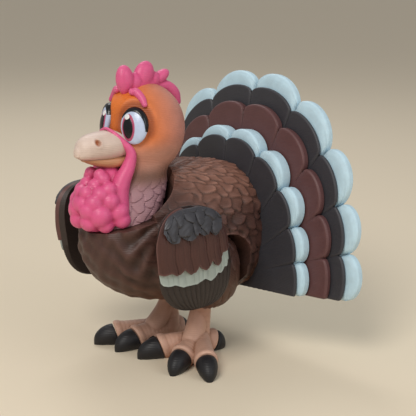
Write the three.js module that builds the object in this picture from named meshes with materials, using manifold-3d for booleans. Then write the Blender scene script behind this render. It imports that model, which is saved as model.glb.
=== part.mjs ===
// A turkey figure for the autumn table, printed in coloured plastic as separate parts and snapped together.
// The head turns on a ball peg, the wings turn on shoulder pegs and the legs swing on hip pegs.
// Millimetres, +Z up. The turkey faces -Y, its left side is +X, and it stands on z = 0.

import * as THREE from 'three';
import { mergeVertices } from 'three/addons/utils/BufferGeometryUtils.js';
import Module from 'manifold-3d';

const wasm = await Module();
wasm.setup();

// Clearances and shared sizes
const seatGap = 0.3;
const runningGap = 0.4;
const overrun = 60;
const blockShare = 4;
const weldReach = 0.0005;
const pegSides = 8;
const rootShare = 4;

// Body: an egg with its own reach on each side, trimmed flat where the fan seats
const body = {
  centreY: 2, centreZ: 68, halfWidth: 34, topReach: 34, bottomReach: 37, frontReach: 59, rearReach: 62,
  fullnessPower: 2.1, rumpPower: 3, aroundCount: 22, upCount: 13,
};

// Neck: its foot stands on a round seat, and the neck axis leans forward
const neck = {
  seatY: -34, seatZ: 80.5, leanDeg: 15, pegRadius: 5.6, pegLength: 9, ballRadius: 7,
  scaleDepth: 0.9, scaleMiddle: 0.5, scaleCount: 6, sideCount: 24, wellSides: 22,
};
const neckStations = [
  { rise: 0, back: 0, radius: 18.6, leanShare: 1 },
  { rise: 4, back: 1.4, radius: 18.3, leanShare: 0.8 },
  { rise: 8, back: 3, radius: 17.6, leanShare: 0.6 },
  { rise: 12, back: 4.7, radius: 16.9, leanShare: 0.4 },
  { rise: 16, back: 6.3, radius: 16, leanShare: 0.2 },
  { rise: 20.5, back: 8, radius: 15, leanShare: 0 },
  { rise: 25, back: 9.5, radius: 14.2, leanShare: 0 },
  { rise: 31, back: 11, radius: 12.6, leanShare: 0 },
];
// The body's well for the neck, from its floor up and out, clear of the head as it turns
const neckWellSteps = [
  { radius: 19.9, rise: 0 }, { radius: 22.2, rise: 2.7 }, { radius: 25.5, rise: 7.6 },
  { radius: 29, rise: 13.7 }, { radius: 33.4, rise: 16 }, { radius: 39.5, rise: 20 }, { radius: 46, rise: 30 },
];

// Cranium, and the eyes set into it
const cranium = {
  centreY: -20.5, centreZ: 121.5, halfWidth: 18.8, frontReach: 22.6, rearReach: 20.4, halfHeight: 22.5,
  fullnessPower: 2, aroundCount: 20, upCount: 14,
};
const eye = {
  azimuthDeg: 35, elevationDeg: 12, facingDeg: 28, halfWidth: 6.9, halfHeight: 8.9, bulge: 2.9, sink: 1.8,
  tiltDeg: 6, irisHalfWidth: 3.5, irisHalfHeight: 6.5, irisAside: 2.2, irisDown: 0.9, pupilHalfWidth: 2.8,
  pupilHalfHeight: 5.3, pupilAside: 2.3, pupilDown: 1.1, glintRadius: 1.4, glintAside: 2.7, glintUp: 4.2,
  lashThickness: 1.7, lashAsideShare: 0.5, plugDepth: 2.2, plugLength: 15, ovalSegments: 4,
  aroundCount: 12, upCount: 6,
};

// Beak, comb, brows, snood and wattle
const upperBeakStations = [
  { y: -34, z: 116.4, halfWidth: 9.8, halfHeight: 6.8 },
  { y: -44, z: 116.6, halfWidth: 9.3, halfHeight: 6.3 },
  { y: -50, z: 116.6, halfWidth: 8.4, halfHeight: 6.1 },
  { y: -55.5, z: 116.1, halfWidth: 6.8, halfHeight: 5.8 },
  { y: -59.8, z: 115, halfWidth: 4.7, halfHeight: 4.9 },
  { y: -62.6, z: 113.8, halfWidth: 2.2, halfHeight: 2.8 },
];
const beakSides = 12;
const lowerBeakStations = [
  { y: -34, z: 108.9, halfWidth: 8.6, halfHeight: 4 },
  { y: -43, z: 108.6, halfWidth: 7.8, halfHeight: 3.7 },
  { y: -49, z: 109, halfWidth: 6.4, halfHeight: 3.2 },
  { y: -54.5, z: 110, halfWidth: 4.4, halfHeight: 2.4 },
  { y: -58.5, z: 111, halfWidth: 2.2, halfHeight: 1.5 },
];
const combLobes = [
  { y: -32.8, z: 146, halfWidth: 3.9, halfDepth: 4.7, halfHeight: 7.4, backDeg: -8 },
  { y: -21.4, z: 147.2, halfWidth: 4, halfDepth: 5.6, halfHeight: 7.9, backDeg: 26 },
  { y: -10.8, z: 146, halfWidth: 3.1, halfDepth: 3, halfHeight: 6.2, backDeg: 62 },
  { y: -23, z: 143.4, halfWidth: 3.6, halfDepth: 13, halfHeight: 5.2, backDeg: -3 },
];
const combCrest = [
  { y: -14.5, z: 142.2, radius: 2.4 },
  { y: -7, z: 141.2, radius: 3 },
  { y: -1.9, z: 137.6, radius: 3.1 },
  { y: 0.3, z: 133, radius: 2.2 },
];
const browPath = [
  { x: 4.6, y: -33.8, z: 139.8, radius: 1.6 },
  { x: 7.2, y: -32, z: 140, radius: 1.8 },
  { x: 10.6, y: -31, z: 138, radius: 1.8 },
  { x: 13, y: -31.4, z: 135.2, radius: 1.4 },
];
const snoodPath = [
  { x: 0, y: -43.4, z: 124.2, radius: 1.3 },
  { x: 4.8, y: -42.6, z: 122.2, radius: 1.4 },
  { x: 8.8, y: -39.8, z: 117.6, radius: 1.8 },
  { x: 10.9, y: -37.6, z: 112, radius: 2.6 },
  { x: 10.4, y: -39.4, z: 106, radius: 3.4 },
  { x: 9, y: -42.6, z: 99, radius: 4.2 },
  { x: 8.8, y: -44.4, z: 92, radius: 4.8 },
  { x: 9.8, y: -44.6, z: 85, radius: 5 },
];
const wattleMiddle = [
  { y: -44, z: 99.5, radius: 7.8 },
  { y: -49.6, z: 92, radius: 8.2 },
  { y: -52, z: 84.4, radius: 8.4 },
  { y: -49.6, z: 79.5, radius: 8.4 },
  { y: -59.4, z: 88.6, radius: 4.6 },
];
const wattlePairs = [
  { x: 5, y: -50.2, z: 98.6, radius: 3.8 },
  { x: 6.6, y: -53, z: 92.4, radius: 4.4 },
  { x: 11.4, y: -46.4, z: 84.4, radius: 5.4 },
  { x: 7.4, y: -54.2, z: 83.6, radius: 5.8 },
];
const beadAroundCount = 7;
const beadUpCount = 5;
const limbRoundShares = [0.35, 0.8];
const limbUprightShare = 0.95;
const rollSides = 7;

// Wings: a stack of shells on a plane that is turned in at the front, each further out than the one behind it
const wing = {
  centreX: 38.4, centreY: -24.2, centreZ: 63.8, inturnDeg: 4, halfDepth: 22.9, halfHeight: 26.2, skew: -0.16,
  rimThickness: 0.8, domeReach: 4.4, domeShares: [0, 0.5, 0.86], outlinePower: 2.6, layerThickness: 1,
  edgeInset: 0.5, aroundCount: 20, pegForward: 4, pegUp: 9.5, pegRadius: 3.2, pegLength: 16, ballRadius: 4.1,
  stepsPerFeather: 3,
};
const wingEdges = {
  cap: { featherCount: 4, frontUp: 15.4, rearUp: 18.6, dip: 2.4, sag: 1.4 },
  coverts: { featherCount: 5, frontUp: -3.4, rearUp: 5, dip: 2.8, sag: 3.2 },
  band: { featherCount: 6, frontUp: -9.8, rearUp: -2.4, dip: 1.3, sag: 4 },
};
const capScales = [
  { across: -12, up: 15, size: 6 }, { across: -1, up: 14.4, size: 6.6 }, { across: 9, up: 16.5, size: 5.6 },
  { across: -3, up: 20.5, size: 5.2 },
];
const capScaleShares = { thickness: 0.3, height: 1.1 };
const capLayer = 3;

// Legs: a thigh in a round recess of the flank, the shank and toes below it
const hip = {
  y: 4, z: 48, recessRadius: 22, recessInnerX: 8.2, recessSides: 24, pegRadius: 2.6, pegLength: 3.6,
  ballRadius: 3.4, pegRoot: 2,
};
const thigh = {
  centreX: 19.6, halfWidth: 15, halfDepth: 16.6, halfHeight: 20.2, fullnessPower: 2.3,
  aroundCount: 14, upCount: 9,
};
const shank = {
  topX: 14.2, topY: 5.5, topZ: 36, topRadius: 5.3, waistRadius: 5, ankleZ: 11, footForward: 1, sideCount: 10,
};
const toe = {
  rootRadius: 5.6, rootZ: 7.6, endHalfWidth: 6, endHeight: 12.4, clawLength: 12.2, clawHalfWidth: 5.5,
  clawHeight: 10.8, clawTipHeight: 2.2, clawShares: [0, 0.34, 0.66, 0.92], clawWidthPower: 2.2,
  clawArchPower: 1.7, slant: -2.2, sideCount: 9, underground: 1, kneeShare: 0.45, knuckleShare: 0.8,
  knuckleWidthShare: 0.94, knuckleHeightShare: 0.97, knuckleSlantShare: 0.7,
};
const toeShares = {
  inner: { size: 1, claw: 1 }, middle: { size: 1, claw: 1 }, outer: { size: 1, claw: 1 },
  hind: { size: 0.94, claw: 0.62 }, small: { size: 0.62, claw: 1 },
};
const feet = {
  left: {
    sign: 1, ankleX: 12.4, ankleY: 4.6,
    toes: {
      inner: { x: -2.4, y: -25.4 }, middle: { x: 27, y: -27.2 }, outer: { x: 45.6, y: -18.4 },
      hind: { x: 15.6, y: 20.4 },
    },
  },
  right: {
    sign: -1, ankleX: -12.6, ankleY: 5.2,
    toes: {
      outer: { x: -34.4, y: -29.6 }, middle: { x: -17.6, y: -28.2 }, small: { x: -8.8, y: -14.2 },
      hind: { x: -15.6, y: 20.4 },
    },
  },
};

// Tail fan: stacked scalloped plates, leaning back
const fan = {
  featherCount: 10, stepsPerFeather: 4, lowestEdgeDeg: 4.3, leanDeg: 7.2, centreY: 37.4, centreZ: 31,
  riseShares: [0.1654, 0.1595], backOffset: 11, hubHalfWidth: 12, grooveRadius: 1.1, grooveStartRadius: 20,
  grooveSides: 4, backEdgeShare: 0.4, pegUp: 28, pegHalfWidth: 8, pegHalfHeight: 4, pegLength: 11,
};

// Plastics
const colours = {
  brown: 0x5b3a35, wingBrown: 0x5e3836, fanBrown: 0x5d3f3f, charcoal: 0x3c3638, capGrey: 0x4a4a4a,
  white: 0xc9dcdd, bandWhite: 0xb5c2ba, orange: 0xd9773f, pink: 0xe0568a, beakCream: 0xd9bdb0,
  beakTan: 0xb97f5c, foot: 0xb98d77, claw: 0x2e2b2f, eyeWhite: 0xd8e2f0, crimson: 0xa83a5a,
  black: 0x18161a, glint: 0xf2f6fa,
};
const printedRoughness = 0.55;

const plates = {
  fan_outer_tips: {
    colour: colours.white, valleyRadius: 81, tipRise: 9.3, thickness: 5.7,
    edge: 2.4, edgeSteps: 2, lobeShares: [0.5, 0.68, 0.95, 1, 1],
  },
  fan_outer_bars: {
    colour: colours.charcoal, valleyRadius: 78.7, tipRise: 3.8, thickness: 1.8,
    edge: 0.8, edgeSteps: 1, lobeShares: [0.15, 0.45, 0.9, 1, 1],
  },
  fan_vanes: {
    colour: colours.fanBrown, valleyRadius: 69.8, tipRise: 3.2, thickness: 3,
    edge: 1.2, edgeSteps: 1, lobeShares: [0, 0.3, 0.8, 1, 1],
  },
  fan_inner_tips: {
    colour: colours.white, valleyRadius: 59.6, tipRise: 6.2, thickness: 5.7,
    edge: 2.4, edgeSteps: 2, lobeShares: [0.1, 0.4, 0.9, 1, 1],
  },
  fan_inner_bars: {
    colour: colours.charcoal, valleyRadius: 57.1, tipRise: 3.2, thickness: 1.8,
    edge: 0.8, edgeSteps: 1, lobeShares: [0, 0.3, 0.9, 1, 1],
  },
};
const groovedPlates = ['fan_outer_bars', 'fan_vanes', 'fan_inner_bars'];

const turkey = new THREE.Group();
const radians = THREE.MathUtils.degToRad;

// Solids and meshes

function solidOf(geometry) {
  const bare = geometry.clone();
  bare.deleteAttribute('normal');
  bare.deleteAttribute('uv');
  const welded = mergeVertices(bare, weldReach);
  return new wasm.Manifold(new wasm.Mesh({
    numProp: 3,
    vertProperties: Float32Array.from(welded.attributes.position.array),
    triVerts: Uint32Array.from(welded.index.array),
  }));
}

function geometryOf(solid) {
  const mesh = solid.getMesh();
  const geometry = new THREE.BufferGeometry();
  geometry.setAttribute('position', new THREE.BufferAttribute(mesh.vertProperties, 3));
  geometry.setIndex(new THREE.BufferAttribute(mesh.triVerts, 1));
  geometry.computeVertexNormals();
  return geometry;
}

const join = (...solids) => solids.reduce((whole, next) => whole.add(next));
const cut = (solid, ...tools) => tools.reduce((left, tool) => left.subtract(tool), solid);

function addPiece(name, solid, colour, parent = turkey) {
  const material = new THREE.MeshStandardMaterial({
    color: colour, roughness: printedRoughness, metalness: 0,
  });
  const piece = new THREE.Mesh(geometryOf(solid), material);
  piece.name = name;
  parent.add(piece);
}

// The same geometry on the other side of the turkey, with its faces still pointing out
function otherSide(geometry) {
  const mirrored = geometry.index ? geometry.clone() : mergeVertices(geometry, weldReach);
  mirrored.applyMatrix4(new THREE.Matrix4().makeScale(-1, 1, 1));
  const order = mirrored.index.array;
  for (let i = 0; i < order.length; i += 3) {
    [order[i + 1], order[i + 2]] = [order[i + 2], order[i + 1]];
  }
  return mirrored;
}

const onSide = (geometry, sign) => solidOf(sign > 0 ? geometry : otherSide(geometry));

// An egg: a sphere whose reach differs on each side, fuller than an ellipsoid where the power is above 2,
// and fuller still at the rump, low at the rear
function egg({ reach, power, rumpPower = 0, aroundCount, upCount }) {
  const geometry = new THREE.SphereGeometry(1, aroundCount, upCount).rotateX(Math.PI / 2);
  const points = geometry.attributes.position;
  const p = new THREE.Vector3();
  for (let i = 0; i < points.count; i += 1) {
    p.fromBufferAttribute(points, i).normalize();
    const full = power + rumpPower * Math.max(0, p.y) * Math.max(0, -p.z);
    const spread = [p.x, p.y, p.z].reduce((sum, part) => sum + Math.abs(part) ** full, 0) ** (-1 / full);
    const x = p.x * spread * (p.x > 0 ? reach.left : reach.right);
    const y = p.y * spread * (p.y > 0 ? reach.rear : reach.front);
    const z = p.z * spread * (p.z > 0 ? reach.top : reach.bottom);
    points.setXYZ(i, x, y, z);
  }
  return geometry;
}

const evenReach = (across, deep, high) => ({
  left: across, right: across, front: deep, rear: deep, top: high, bottom: high,
});

function bead(x, y, z, radius) {
  const ball = new THREE.SphereGeometry(radius, beadAroundCount, beadUpCount);
  return ball.rotateX(Math.PI / 2).translate(x, y, z);
}

// A closed skin over rings of points, with a point at the middle of each end
function skin(rings) {
  const sides = rings[0].length;
  const middleOf = (ring) => ring.reduce((sum, p) => sum.add(p), new THREE.Vector3()).divideScalar(sides);
  const points = [...rings.flat(), middleOf(rings[0]), middleOf(rings[rings.length - 1])];
  const startMiddle = points.length - 2;
  const endMiddle = points.length - 1;
  const lastRing = (rings.length - 1) * sides;
  const faces = [];
  for (let s = 0; s < sides; s += 1) {
    const next = (s + 1) % sides;
    for (let r = 0; r < rings.length - 1; r += 1) {
      const a = r * sides + s;
      const b = r * sides + next;
      faces.push(a, b, b + sides, a, b + sides, a + sides);
    }
    faces.push(startMiddle, next, s, endMiddle, lastRing + s, lastRing + next);
  }
  let volume = 0;
  for (let i = 0; i < faces.length; i += 3) {
    const [p, q, r] = [points[faces[i]], points[faces[i + 1]], points[faces[i + 2]]];
    volume += p.dot(new THREE.Vector3().crossVectors(q, r));
  }
  if (volume < 0) faces.reverse();
  const geometry = new THREE.BufferGeometry();
  geometry.setAttribute('position', new THREE.Float32BufferAttribute(points.flatMap((p) => p.toArray()), 3));
  geometry.setIndex(faces);
  return geometry;
}

// Rings square to a path of stations, rounded off past both ends
function limb(stations, sideCount) {
  const path = new THREE.CatmullRomCurve3(stations.map((s) => new THREE.Vector3(s.x ?? 0, s.y, s.z)));
  const last = stations.length - 1;
  const ring = (share, size) => {
    const centre = path.getPoint(THREE.MathUtils.clamp(share, 0, 1));
    const along = path.getTangent(THREE.MathUtils.clamp(share, 0, 1));
    const upright = Math.abs(along.z) > limbUprightShare;
    const level = upright ? new THREE.Vector3(1, 0, 0) : new THREE.Vector3(0, 0, 1);
    const side = new THREE.Vector3().crossVectors(level, along).normalize();
    const up = new THREE.Vector3().crossVectors(along, side);
    centre.addScaledVector(along, size.beyond);
    return Array.from({ length: sideCount }, (_, k) => {
      const turn = (k / sideCount) * 2 * Math.PI;
      return centre.clone().addScaledVector(side, Math.cos(turn) * size.radius)
        .addScaledVector(up, Math.sin(turn) * size.radius);
    });
  };
  const rings = [];
  const first = stations[0].radius;
  const end = stations[last].radius;
  limbRoundShares.forEach((s) => {
    rings.push(ring(0, { radius: first * s, beyond: -first * Math.sqrt(1 - s * s) }));
  });
  stations.forEach((station, i) => rings.push(ring(i / last, { radius: station.radius, beyond: 0 })));
  [...limbRoundShares].reverse().forEach((s) => {
    rings.push(ring(1, { radius: end * s, beyond: end * Math.sqrt(1 - s * s) }));
  });
  return skin(rings);
}

// A block whose near face lies on a plane, to trim what is beyond it
function blockBeyond(point, normal) {
  const side = overrun * blockShare;
  const block = new THREE.BoxGeometry(side, side, side).translate(0, 0, side / 2);
  block.applyQuaternion(new THREE.Quaternion().setFromUnitVectors(new THREE.Vector3(0, 0, 1), normal));
  return solidOf(block.translate(point.x, point.y, point.z));
}

// A snap peg along +Z from the origin: a stem with a ball on its end. Grown by a clearance it is the socket,
// and its flats stand clear of the circle that the peg's corners turn on
function snapPeg({ stemRadius, stemLength, ballRadius, grown, rootLength }) {
  const flatShare = grown > 0 ? Math.cos(Math.PI / pegSides) : 1;
  const thick = (stemRadius + grown) / flatShare;
  const stem = new THREE.CylinderGeometry(thick, thick, stemLength + rootLength, pegSides)
    .rotateX(Math.PI / 2).translate(0, 0, (stemLength - rootLength) / 2);
  const ball = new THREE.SphereGeometry((ballRadius + grown) / flatShare, pegSides, pegSides / 2)
    .rotateX(Math.PI / 2).translate(0, 0, stemLength);
  return join(solidOf(stem), solidOf(ball));
}

const placed = (solid, matrix) => solid.transform(matrix.elements);

function pointing(direction, x, y, z) {
  const turn = new THREE.Quaternion().setFromUnitVectors(new THREE.Vector3(0, 0, 1), direction);
  return new THREE.Matrix4().compose(new THREE.Vector3(x, y, z), turn, new THREE.Vector3(1, 1, 1));
}

// Tail fan

const fanLean = new THREE.Matrix4().makeTranslation(0, fan.centreY, fan.centreZ)
  .multiply(new THREE.Matrix4().makeRotationX(Math.PI / 2 - radians(fan.leanDeg)));
const fanForward = new THREE.Vector3(0, 0, 1).transformDirection(fanLean);

// The scalloped outline of a plate at one height, drawn in from its edge
function scallopRing({ valleyRadius, tipRise, lobeShares }, height, inset) {
  const first = radians(fan.lowestEdgeDeg);
  const pitch = (Math.PI - 2 * first) / fan.featherCount;
  const [low, high] = fan.riseShares;
  const ring = [];
  for (let f = 0; f < fan.featherCount; f += 1) {
    const lobe = tipRise * lobeShares[Math.min(f, fan.featherCount - 1 - f)];
    for (let k = f === 0 ? 0 : 1; k <= fan.stepsPerFeather; k += 1) {
      const across = -Math.cos((k / fan.stepsPerFeather) * Math.PI);
      const turn = first + (f + (across + 1) / 2) * pitch;
      const tall = 1 + low * Math.sin(turn) ** 2 + high * Math.sin(turn) ** 4;
      const radius = valleyRadius * tall + lobe * Math.sqrt(1 - across * across) - inset;
      ring.push(new THREE.Vector3(radius * Math.cos(turn), radius * Math.sin(turn), height));
    }
  }
  const hubRise = fan.hubHalfWidth * Math.tan(first);
  return [...ring, ...[-1, 1].map((sign) => new THREE.Vector3(sign * fan.hubHalfWidth, hubRise, height))];
}

function fanPlate(name, plate, back) {
  const front = back + plate.thickness;
  const softBack = plate.edge * fan.backEdgeShare;
  const rings = [scallopRing(plate, back, softBack), scallopRing(plate, back + softBack, 0)];
  for (let k = 0; k <= plate.edgeSteps; k += 1) {
    const turn = (k / plate.edgeSteps) * (Math.PI / 2);
    const height = front - plate.edge * (1 - Math.sin(turn));
    rings.push(scallopRing(plate, height, plate.edge * (1 - Math.cos(turn))));
  }
  let solid = solidOf(skin(rings));
  if (groovedPlates.includes(name)) {
    const first = radians(fan.lowestEdgeDeg);
    const length = plate.valleyRadius * (1 + fan.riseShares[0] + fan.riseShares[1]) - fan.grooveStartRadius;
    for (let f = 1; f < fan.featherCount; f += 1) {
      const turn = first + f * ((Math.PI - 2 * first) / fan.featherCount);
      const groove = new THREE.CylinderGeometry(fan.grooveRadius, fan.grooveRadius, length, fan.grooveSides)
        .rotateZ(-Math.PI / 2).translate(fan.grooveStartRadius + length / 2, 0, 0).rotateZ(turn)
        .translate(0, 0, front + fan.grooveRadius / 2);
      solid = cut(solid, solidOf(groove));
    }
  }
  return solid;
}

function fanPeg(front, grown) {
  const peg = new THREE.BoxGeometry(
    2 * (fan.pegHalfWidth + grown), 2 * (fan.pegHalfHeight + grown), fan.pegLength + grown,
  );
  return solidOf(peg.translate(0, fan.pegUp, front + (fan.pegLength + grown) / 2 - seatGap));
}

let plateBack = -fan.backOffset;
let fanFront = plateBack;
const fanGroup = new THREE.Group();
fanGroup.applyMatrix4(fanLean);
turkey.add(fanGroup);
Object.entries(plates).forEach(([name, plate], i, all) => {
  const front = plateBack + plate.thickness;
  let solid = fanPlate(name, plate, plateBack);
  if (i === all.length - 1) solid = join(solid, fanPeg(front - seatGap, 0));
  addPiece(name, solid, plate.colour, fanGroup);
  fanFront = front;
  plateBack = front + seatGap;
});

// Neck frame

const neckAxis = new THREE.Vector3(0, -Math.sin(radians(neck.leanDeg)), Math.cos(radians(neck.leanDeg)));
const neckSeat = new THREE.Vector3(0, neck.seatY, neck.seatZ);
const neckFoot = neckSeat.clone().addScaledVector(neckAxis, seatGap);
const neckPegFrame = pointing(neckAxis.clone().negate(), neckFoot.x, neckFoot.y, neckFoot.z);
const neckPeg = (grown) => placed(snapPeg({
  stemRadius: neck.pegRadius, stemLength: neck.pegLength, ballRadius: neck.ballRadius, grown,
  rootLength: seatGap * rootShare,
}), neckPegFrame);

// Cranium, neck and eyes

const craniumReach = (grown) => ({
  ...evenReach(cranium.halfWidth + grown, 0, cranium.halfHeight + grown),
  front: cranium.frontReach + grown, rear: cranium.rearReach + grown,
});
const craniumEgg = (grown) => solidOf(egg({
  reach: craniumReach(grown), power: cranium.fullnessPower, aroundCount: cranium.aroundCount,
  upCount: cranium.upCount,
}).translate(0, cranium.centreY, cranium.centreZ));

// The neck's rings carry overlapping scales, set half a scale aside on every other ring
function neckColumn() {
  const rings = neckStations.map((station, row) => {
    const lean = radians(neck.leanDeg) * station.leanShare;
    const centre = new THREE.Vector3(0, neck.seatY + station.back, neck.seatZ + station.rise);
    if (row === 0) centre.copy(neckFoot);
    const deep = new THREE.Vector3(0, Math.cos(lean), Math.sin(lean));
    const fade = row === 0 ? 0 : Math.max(0, 1 - (row - 1) / (neckStations.length - 3));
    return Array.from({ length: neck.sideCount }, (_, k) => {
      const turn = (k / neck.sideCount) * 2 * Math.PI;
      const scale = Math.abs(Math.sin((turn * neck.scaleCount) / 2 + (row % 2) * (Math.PI / 2)));
      const radius = station.radius + neck.scaleDepth * fade * (scale - neck.scaleMiddle);
      return centre.clone().addScaledVector(deep, Math.sin(turn) * radius)
        .add(new THREE.Vector3(Math.cos(turn) * radius, 0, 0));
    });
  });
  return solidOf(skin(rings));
}

const wide = (halfWidth, halfHeight, x, y) => {
  const shape = new THREE.Shape();
  shape.absellipse(x, y, halfWidth, halfHeight, 0, 2 * Math.PI);
  return shape;
};

const plug = (shape, start = eye.bulge - eye.plugDepth) => solidOf(new THREE.ExtrudeGeometry(shape, {
  depth: eye.plugLength, bevelEnabled: false, curveSegments: eye.ovalSegments,
}).translate(0, 0, start));

// Each eye lies in its own frame: x across the face away from the beak, y up and z out of the eye.
// It sits where its azimuth meets the cranium, and faces a little further forward than that.
function eyeFrame(sign) {
  const lift = radians(eye.elevationDeg);
  const towards = (turn) => new THREE.Vector3(
    sign * Math.sin(turn) * Math.cos(lift), -Math.cos(turn) * Math.cos(lift), Math.sin(lift),
  );
  const place = towards(radians(eye.azimuthDeg));
  const out = towards(radians(eye.facingDeg));
  const side = new THREE.Vector3(0, 0, 1).cross(out).normalize();
  const up = new THREE.Vector3().crossVectors(out, side);
  const reach = new THREE.Vector3(cranium.halfWidth, cranium.frontReach, cranium.halfHeight);
  const radius = 1 / new THREE.Vector3().copy(place).divide(reach).length();
  const centre = place.multiplyScalar(radius - eye.sink);
  const frame = new THREE.Matrix4().makeBasis(side, up, out);
  frame.multiply(new THREE.Matrix4().makeRotationZ(sign * radians(eye.tiltDeg)));
  frame.setPosition(centre.x, centre.y + cranium.centreY, centre.z + cranium.centreZ);
  return frame;
}

function eyePieces(sign) {
  const frame = eyeFrame(sign);
  const ball = (grown) => solidOf(egg({
    reach: evenReach(eye.halfWidth + grown, eye.halfHeight + grown, eye.bulge + grown),
    power: cranium.fullnessPower, aroundCount: eye.aroundCount, upCount: eye.upCount,
  }));
  const aside = -sign;
  const iris = (grown) => plug(wide(
    eye.irisHalfWidth + grown, eye.irisHalfHeight + grown, aside * eye.irisAside, -eye.irisDown,
  ));
  const pupil = (grown) => plug(wide(
    eye.pupilHalfWidth + grown, eye.pupilHalfHeight + grown, aside * eye.pupilAside, -eye.pupilDown,
  ));
  const glint = (grown) => plug(wide(
    eye.glintRadius + grown, eye.glintRadius + grown, aside * eye.glintAside, eye.glintUp,
  ));
  const lidShape = wide(eye.halfWidth + seatGap, eye.halfHeight + seatGap, 0, 0);
  const below = (grown) => plug(wide(
    eye.halfWidth - grown, eye.halfHeight - grown,
    aside * eye.lashThickness * eye.lashAsideShare, -eye.lashThickness,
  ));
  const lashZone = plug(lidShape);
  const lashRoom = cut(lashZone, below(seatGap));
  const whole = ball(0);
  return {
    frame,
    socket: placed(join(ball(seatGap), plug(lidShape, 0)), frame),
    lash: cut(whole.intersect(lashZone), below(0)),
    white: cut(whole, lashRoom, cut(iris(seatGap), lashRoom), glint(seatGap)),
    iris: cut(whole.intersect(iris(0)), pupil(seatGap), glint(seatGap), lashRoom),
    pupil: cut(whole.intersect(pupil(0)), glint(seatGap), lashRoom),
    glint: whole.intersect(glint(0)),
  };
}

const eyes = { left: eyePieces(1), right: eyePieces(-1) };
const skull = cut(join(craniumEgg(0), neckColumn(), neckPeg(0)), eyes.left.socket, eyes.right.socket);
addPiece('head_shell', skull, colours.orange);
Object.entries(eyes).forEach(([side, parts]) => {
  addPiece(`eye_white_${side}`, placed(parts.white, parts.frame), colours.eyeWhite);
  addPiece(`eye_iris_${side}`, placed(parts.iris, parts.frame), colours.crimson);
  addPiece(`eye_pupil_${side}`, placed(parts.pupil, parts.frame), colours.black);
  addPiece(`eye_glint_${side}`, placed(parts.glint, parts.frame), colours.glint);
  addPiece(`eye_lash_${side}`, placed(parts.lash, parts.frame), colours.black);
});

// Beak, comb, brows and wattle

function beakHalf(stations, grown) {
  const ring = ({ y, z, halfWidth, halfHeight }) => Array.from({ length: beakSides }, (_, k) => {
    const turn = (k / beakSides) * 2 * Math.PI;
    const up = Math.sin(turn) * (halfHeight + grown);
    return new THREE.Vector3(Math.cos(turn) * (halfWidth + grown), y, z + up);
  });
  const rings = stations.map(ring);
  return solidOf(skin(rings));
}

const headNearby = (grown) => join(craniumEgg(grown), solidOf(skin(neckStations.map((station) => {
  const lean = radians(neck.leanDeg) * station.leanShare;
  const deep = new THREE.Vector3(0, Math.cos(lean), Math.sin(lean));
  const centre = new THREE.Vector3(0, neck.seatY + station.back, neck.seatZ + station.rise);
  const radius = station.radius + neck.scaleDepth / 2 + grown;
  return Array.from({ length: neck.sideCount }, (_, k) => {
    const turn = (k / neck.sideCount) * 2 * Math.PI;
    return centre.clone().addScaledVector(deep, Math.sin(turn) * radius)
      .add(new THREE.Vector3(Math.cos(turn) * radius, 0, 0));
  });
}))));
const headRoom = headNearby(seatGap);
const eyeSockets = [eyes.left.socket, eyes.right.socket];
const upperBeak = cut(beakHalf(upperBeakStations, 0), headRoom, ...eyeSockets);
const lowerBeak = cut(beakHalf(lowerBeakStations, 0), headRoom, beakHalf(upperBeakStations, seatGap));
addPiece('beak_upper', upperBeak, colours.beakCream);
addPiece('beak_lower', lowerBeak, colours.beakTan);

const tilted = (lobe) => egg({
  reach: evenReach(lobe.halfWidth, lobe.halfDepth, lobe.halfHeight), power: cranium.fullnessPower,
  aroundCount: beadAroundCount, upCount: beadUpCount + 1,
}).rotateX(-radians(lobe.backDeg)).translate(0, lobe.y, lobe.z);
const grownBy = (gap, sizes, keys) => sizes.map((size) => keys.reduce(
  (grown, key) => ({ ...grown, [key]: size[key] + gap }), { ...size },
));
const combSolid = (gap) => join(
  ...grownBy(gap, combLobes, ['halfWidth', 'halfDepth', 'halfHeight']).map((lobe) => solidOf(tilted(lobe))),
  solidOf(limb(grownBy(gap, combCrest, ['radius']), rollSides)),
);
addPiece('comb', cut(combSolid(0), headRoom), colours.pink);

const brow = (sign) => cut(onSide(limb(browPath, rollSides), sign), craniumEgg(seatGap), combSolid(seatGap));
addPiece('brow_left', brow(1), colours.pink);
addPiece('brow_right', brow(-1), colours.pink);

const beakRoom = join(beakHalf(upperBeakStations, seatGap), beakHalf(lowerBeakStations, seatGap));
const wattleBeads = [
  ...wattleMiddle.map((b) => solidOf(bead(0, b.y, b.z, b.radius))),
  ...wattlePairs.flatMap((b) => [1, -1].map((sign) => solidOf(bead(sign * b.x, b.y, b.z, b.radius)))),
];
const snood = join(onSide(limb(snoodPath, rollSides), 1), onSide(limb(snoodPath, rollSides), -1));
const belowNeck = blockBeyond(neckFoot, neckAxis.clone().negate());
const faceRoom = [headRoom, beakRoom, ...eyeSockets, belowNeck];
addPiece('snood_wattle', cut(join(snood, ...wattleBeads), ...faceRoom), colours.pink);

// Wings

// A ring of the wing's outline at one height over its inner face, drawn in by an inset or a size
function wingRing(height, size = 1, inset = 0) {
  return Array.from({ length: wing.aroundCount }, (_, k) => {
    const turn = (k / wing.aroundCount) * 2 * Math.PI;
    const [c, s] = [Math.cos(turn), Math.sin(turn)];
    const power = wing.outlinePower;
    const spread = (Math.abs(c) ** power + Math.abs(s) ** power) ** (-1 / power);
    const up = s * spread * (wing.halfHeight * size - inset);
    const along = c * spread * (wing.halfDepth * size - inset) + wing.skew * up;
    return new THREE.Vector3(height, along, up);
  });
}

// A domed shell: rings that draw in as they rise from the rim
function wingDome(raised) {
  const rise = (share) => wing.rimThickness + raised + share * wing.domeReach;
  const domeRings = wing.domeShares.map((share) => wingRing(rise(share), Math.sqrt(1 - share * share)));
  return solidOf(skin([wingRing(0, 1, wing.edgeInset), ...domeRings]));
}

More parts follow.
